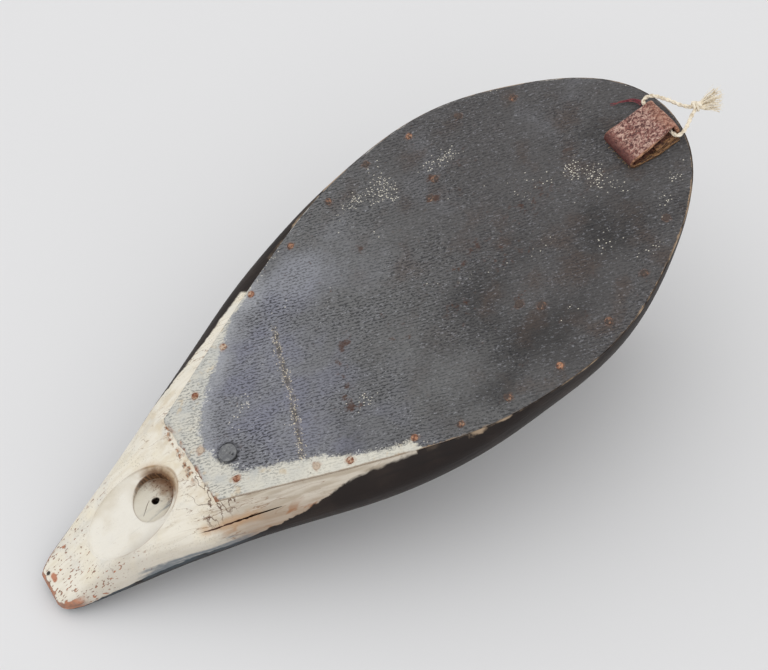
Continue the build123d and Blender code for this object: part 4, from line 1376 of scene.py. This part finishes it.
def table_mesh(colour):
    """Wide flat table top with a faint unevenness of colour."""
    f = Finish("table_top", Roughness=0.9, Specular_IOR_Level=0.1)
    haze = f.cloud(180, 2).rise(0.3, 0.7) * 0.25
    bm = bmesh.new()
    bmesh.ops.create_grid(bm, x_segments=1, y_segments=1, size=TABLE_HALF)
    mesh = mesh_from("table", bm)
    mesh.materials.append(f.paint(f.mix(haze, colour, tuple(c * 0.97 for c in colour))))
    return mesh


def hang_lamp(name, place, breadth, strength):
    """Broad even light that comes from a place and falls on the middle of the table."""
    light = bpy.data.lights.new(name, "SUN")
    light.angle = math.radians(breadth)
    light.energy = strength
    lamp = put(name, light)
    lamp.location = place
    lamp.rotation_euler = (-Vector(place)).to_track_quat("-Z", "Y").to_euler()


def set_camera():
    """The view of the decoy from above its tail, a little to port."""
    data = bpy.data.cameras.new("camera")
    data.lens = LENS
    data.sensor_width = SENSOR_WIDTH
    camera = put("camera", data)
    camera.location = CAMERA_PLACE
    camera.rotation_euler = [math.radians(angle) for angle in CAMERA_TURN]
    bpy.context.scene.camera = camera


# ---------------------------------------------------------------- operators


class DECOY_OT_stage(bpy.types.Operator):
    """Pale table, soft lamps and the camera"""

    bl_idname = "decoy.stage"
    bl_label = "Stage"

    def execute(self, context):
        stage = settings().stage
        context.scene.view_settings.view_transform = "Standard"
        put("table", table_mesh(rgb(stage.floor)))
        for name, place, breadth, strength in LAMPS:
            hang_lamp(name, place, breadth, getattr(stage, strength))
        context.scene.world = bpy.data.worlds.new("even_light")
        context.scene.world.use_nodes = True
        sky = context.scene.world.node_tree.nodes["Background"]
        sky.inputs["Color"].default_value = (1, 1, 1, 1)
        sky.inputs["Strength"].default_value = stage.sky
        set_camera()
        return {"FINISHED"}


class DECOY_OT_canvas(bpy.types.Operator):
    """Painted canvas stretched over the bottom"""

    bl_idname = "decoy.canvas"
    bl_label = "Canvas"

    def execute(self, context):
        rim = canvas_rim()
        heads = np.concatenate([nail_heads("canvas_tacks"), nail_heads("ballast_nails")])
        clout = middle(own_box("tail_clout"))[:2]
        mesh = canvas_mesh(rim, heads, clout)
        wear_canvas(mesh, rim, heads, clout)
        piece = set_down("painted_canvas", mesh, canvas_finish(), "hull", "painted_canvas", "bottom_canvas")
        return {"FINISHED"}


class DECOY_OT_woodwork(bpy.types.Operator):
    """Paint on hull and peg work, and metal finishes on nails and ballast"""

    bl_idname = "decoy.woodwork"
    bl_label = "Woodwork and metal"

    def execute(self, context):
        finishes = (
            (hull_finish(), "hull"),
            (wood_finish("board_wood", tone(186, 152, 110), tone(150, 114, 76), 3),
             "bottom_board_rear", "bottom_board_front", "board_cleat"),
            (wood_finish("peg_wood", tone(196, 164, 120), tone(166, 132, 92), 1.6), "neck_peg", "head_pin"),
            (leather_finish("washer_leather"), "neck_washer"),
            (metal_finish("ballast_iron", tone(74, 66, 62), tone(108, 70, 50), 0.6), "ballast_bar"),
            (metal_finish("nail_rust", tone(88, 70, 60), tone(126, 76, 54), 0.8),
             "board_nails", "cleat_nails", "loop_nail"),
            (tack_finish(), "canvas_tacks", "ballast_nails"),
            (glass_finish(), "eye_port", "eye_starboard"),
        )
        for finish, *nodes in finishes:
            for node in nodes:
                for place in frame["nodes"][node].material_slots:
                    place.material = finish
        return {"FINISHED"}


class DECOY_OT_head(bpy.types.Operator):
    """Carved head on its peg"""

    bl_idname = "decoy.head"
    bl_label = "Head"

    def execute(self, context):
        set_down("carved_head", carved_head_mesh(), head_finish(), "head", "painted_wood", "head")
        return {"FINISHED"}


class DECOY_OT_clout(bpy.types.Operator):
    """Large flat nail at the tail end of the canvas"""

    bl_idname = "decoy.clout"
    bl_label = "Clout"

    def execute(self, context):
        set_down("clout_disc", clout_mesh(), clout_finish(), "hull", "dark_steel", "tail_clout")
        return {"FINISHED"}


class DECOY_OT_loop(bpy.types.Operator):
    """Folded leather anchor loop"""

    bl_idname = "decoy.loop"
    bl_label = "Leather loop"

    def execute(self, context):
        leather = leather_finish()
        piece = set_down("leather_loop", loop_mesh(), leather, "anchor_loop", "leather", "anchor_loop")
        rounding = piece.modifiers.new("rounding", "SUBSURF")
        rounding.levels = rounding.render_levels = 1
        set_down("loop_fuzz", loop_fuzz(random.Random(LEATHER_SEED)), fuzz_finish(), "anchor_loop", "leather")
        return {"FINISHED"}


class DECOY_OT_twine(bpy.types.Operator):
    """Twine through the loop with its knot and frayed ends, and an old red thread beside it"""

    bl_idname = "decoy.twine"
    bl_label = "Twine"

    def execute(self, context):
        rng = random.Random(TWINE_SEED)
        line = twine_line()
        cream = twine_finish("twine_fibre", rgb(settings().twine.colour), tone(176, 152, 116))
        red = twine_finish("red_thread", tone(118, 50, 62), tone(160, 108, 96))
        rope = set_down("twine_line", twine_mesh(line), cream, "anchor_loop", "twine", "tie_twine")
        knot = set_down("tight_knot", knot_mesh(), cream, "anchor_loop", "twine", "twine_knot")
        fray = set_down("frayed_yarns", fray_mesh(rng, *YARNS), cream, "anchor_loop", "twine")
        wisps = set_down("frayed_wisps", fray_mesh(rng, *WISPS), cream, "anchor_loop", "twine")
        hairs = set_down("twine_hairs", hairs_mesh(line, rng), cream, "anchor_loop", "twine")
        set_down("thread_remnant", remnant_mesh(rng), red, "hull", "twine")
        return {"FINISHED"}


class DECOY_PT_panel(bpy.types.Panel):
    """Sizes, colours and making steps of the decoy"""

    bl_idname = "DECOY_PT_panel"
    bl_label = "Duck decoy"
    bl_space_type = "VIEW_3D"
    bl_region_type = "UI"
    bl_category = "Decoy"

    def draw(self, context):
        for operator in OPERATORS:
            self.layout.operator(operator.bl_idname)
        for group in DecoySettings.bl_rna.properties:
            if group.type == "POINTER" and group.identifier != "rna_type":
                held = getattr(context.scene.decoy, group.identifier)
                box = self.layout.box()
                box.label(text=group.name)
                for name in held.bl_rna.properties.keys():
                    if name not in {"rna_type", "name"}:
                        box.prop(held, name)


SETTINGS = (CanvasSettings, HullSettings, LoopSettings, TwineSettings, StageSettings, DecoySettings)
OPERATORS = (DECOY_OT_stage, DECOY_OT_twine, DECOY_OT_loop, DECOY_OT_canvas, DECOY_OT_clout,
             DECOY_OT_woodwork, DECOY_OT_head)
CLASSES = (*SETTINGS, *OPERATORS, DECOY_PT_panel)


def register():
    for made in CLASSES:
        bpy.utils.register_class(made)
    bpy.types.Scene.decoy = bpy.props.PointerProperty(
        name="Decoy", description="Sizes and colours of the decoy", type=DecoySettings)


def unregister():
    del bpy.types.Scene.decoy
    for made in reversed(CLASSES):
        bpy.utils.unregister_class(made)


def clear_start():
    """Takes away what the empty file came with, and leaves the decoy's frame."""
    kept = set(frame["nodes"].values()) | set(frame["bodies"].values())
    for thing in list(bpy.data.objects):
        if thing not in kept:
            bpy.data.objects.remove(thing)


def main():
    clear_start()
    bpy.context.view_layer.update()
    register()
    for operator in OPERATORS:
        group, name = operator.bl_idname.split(".")
        getattr(getattr(bpy.ops, group), name)()
    bpy.context.view_layer.update()


if __name__ == "__main__":
    main()
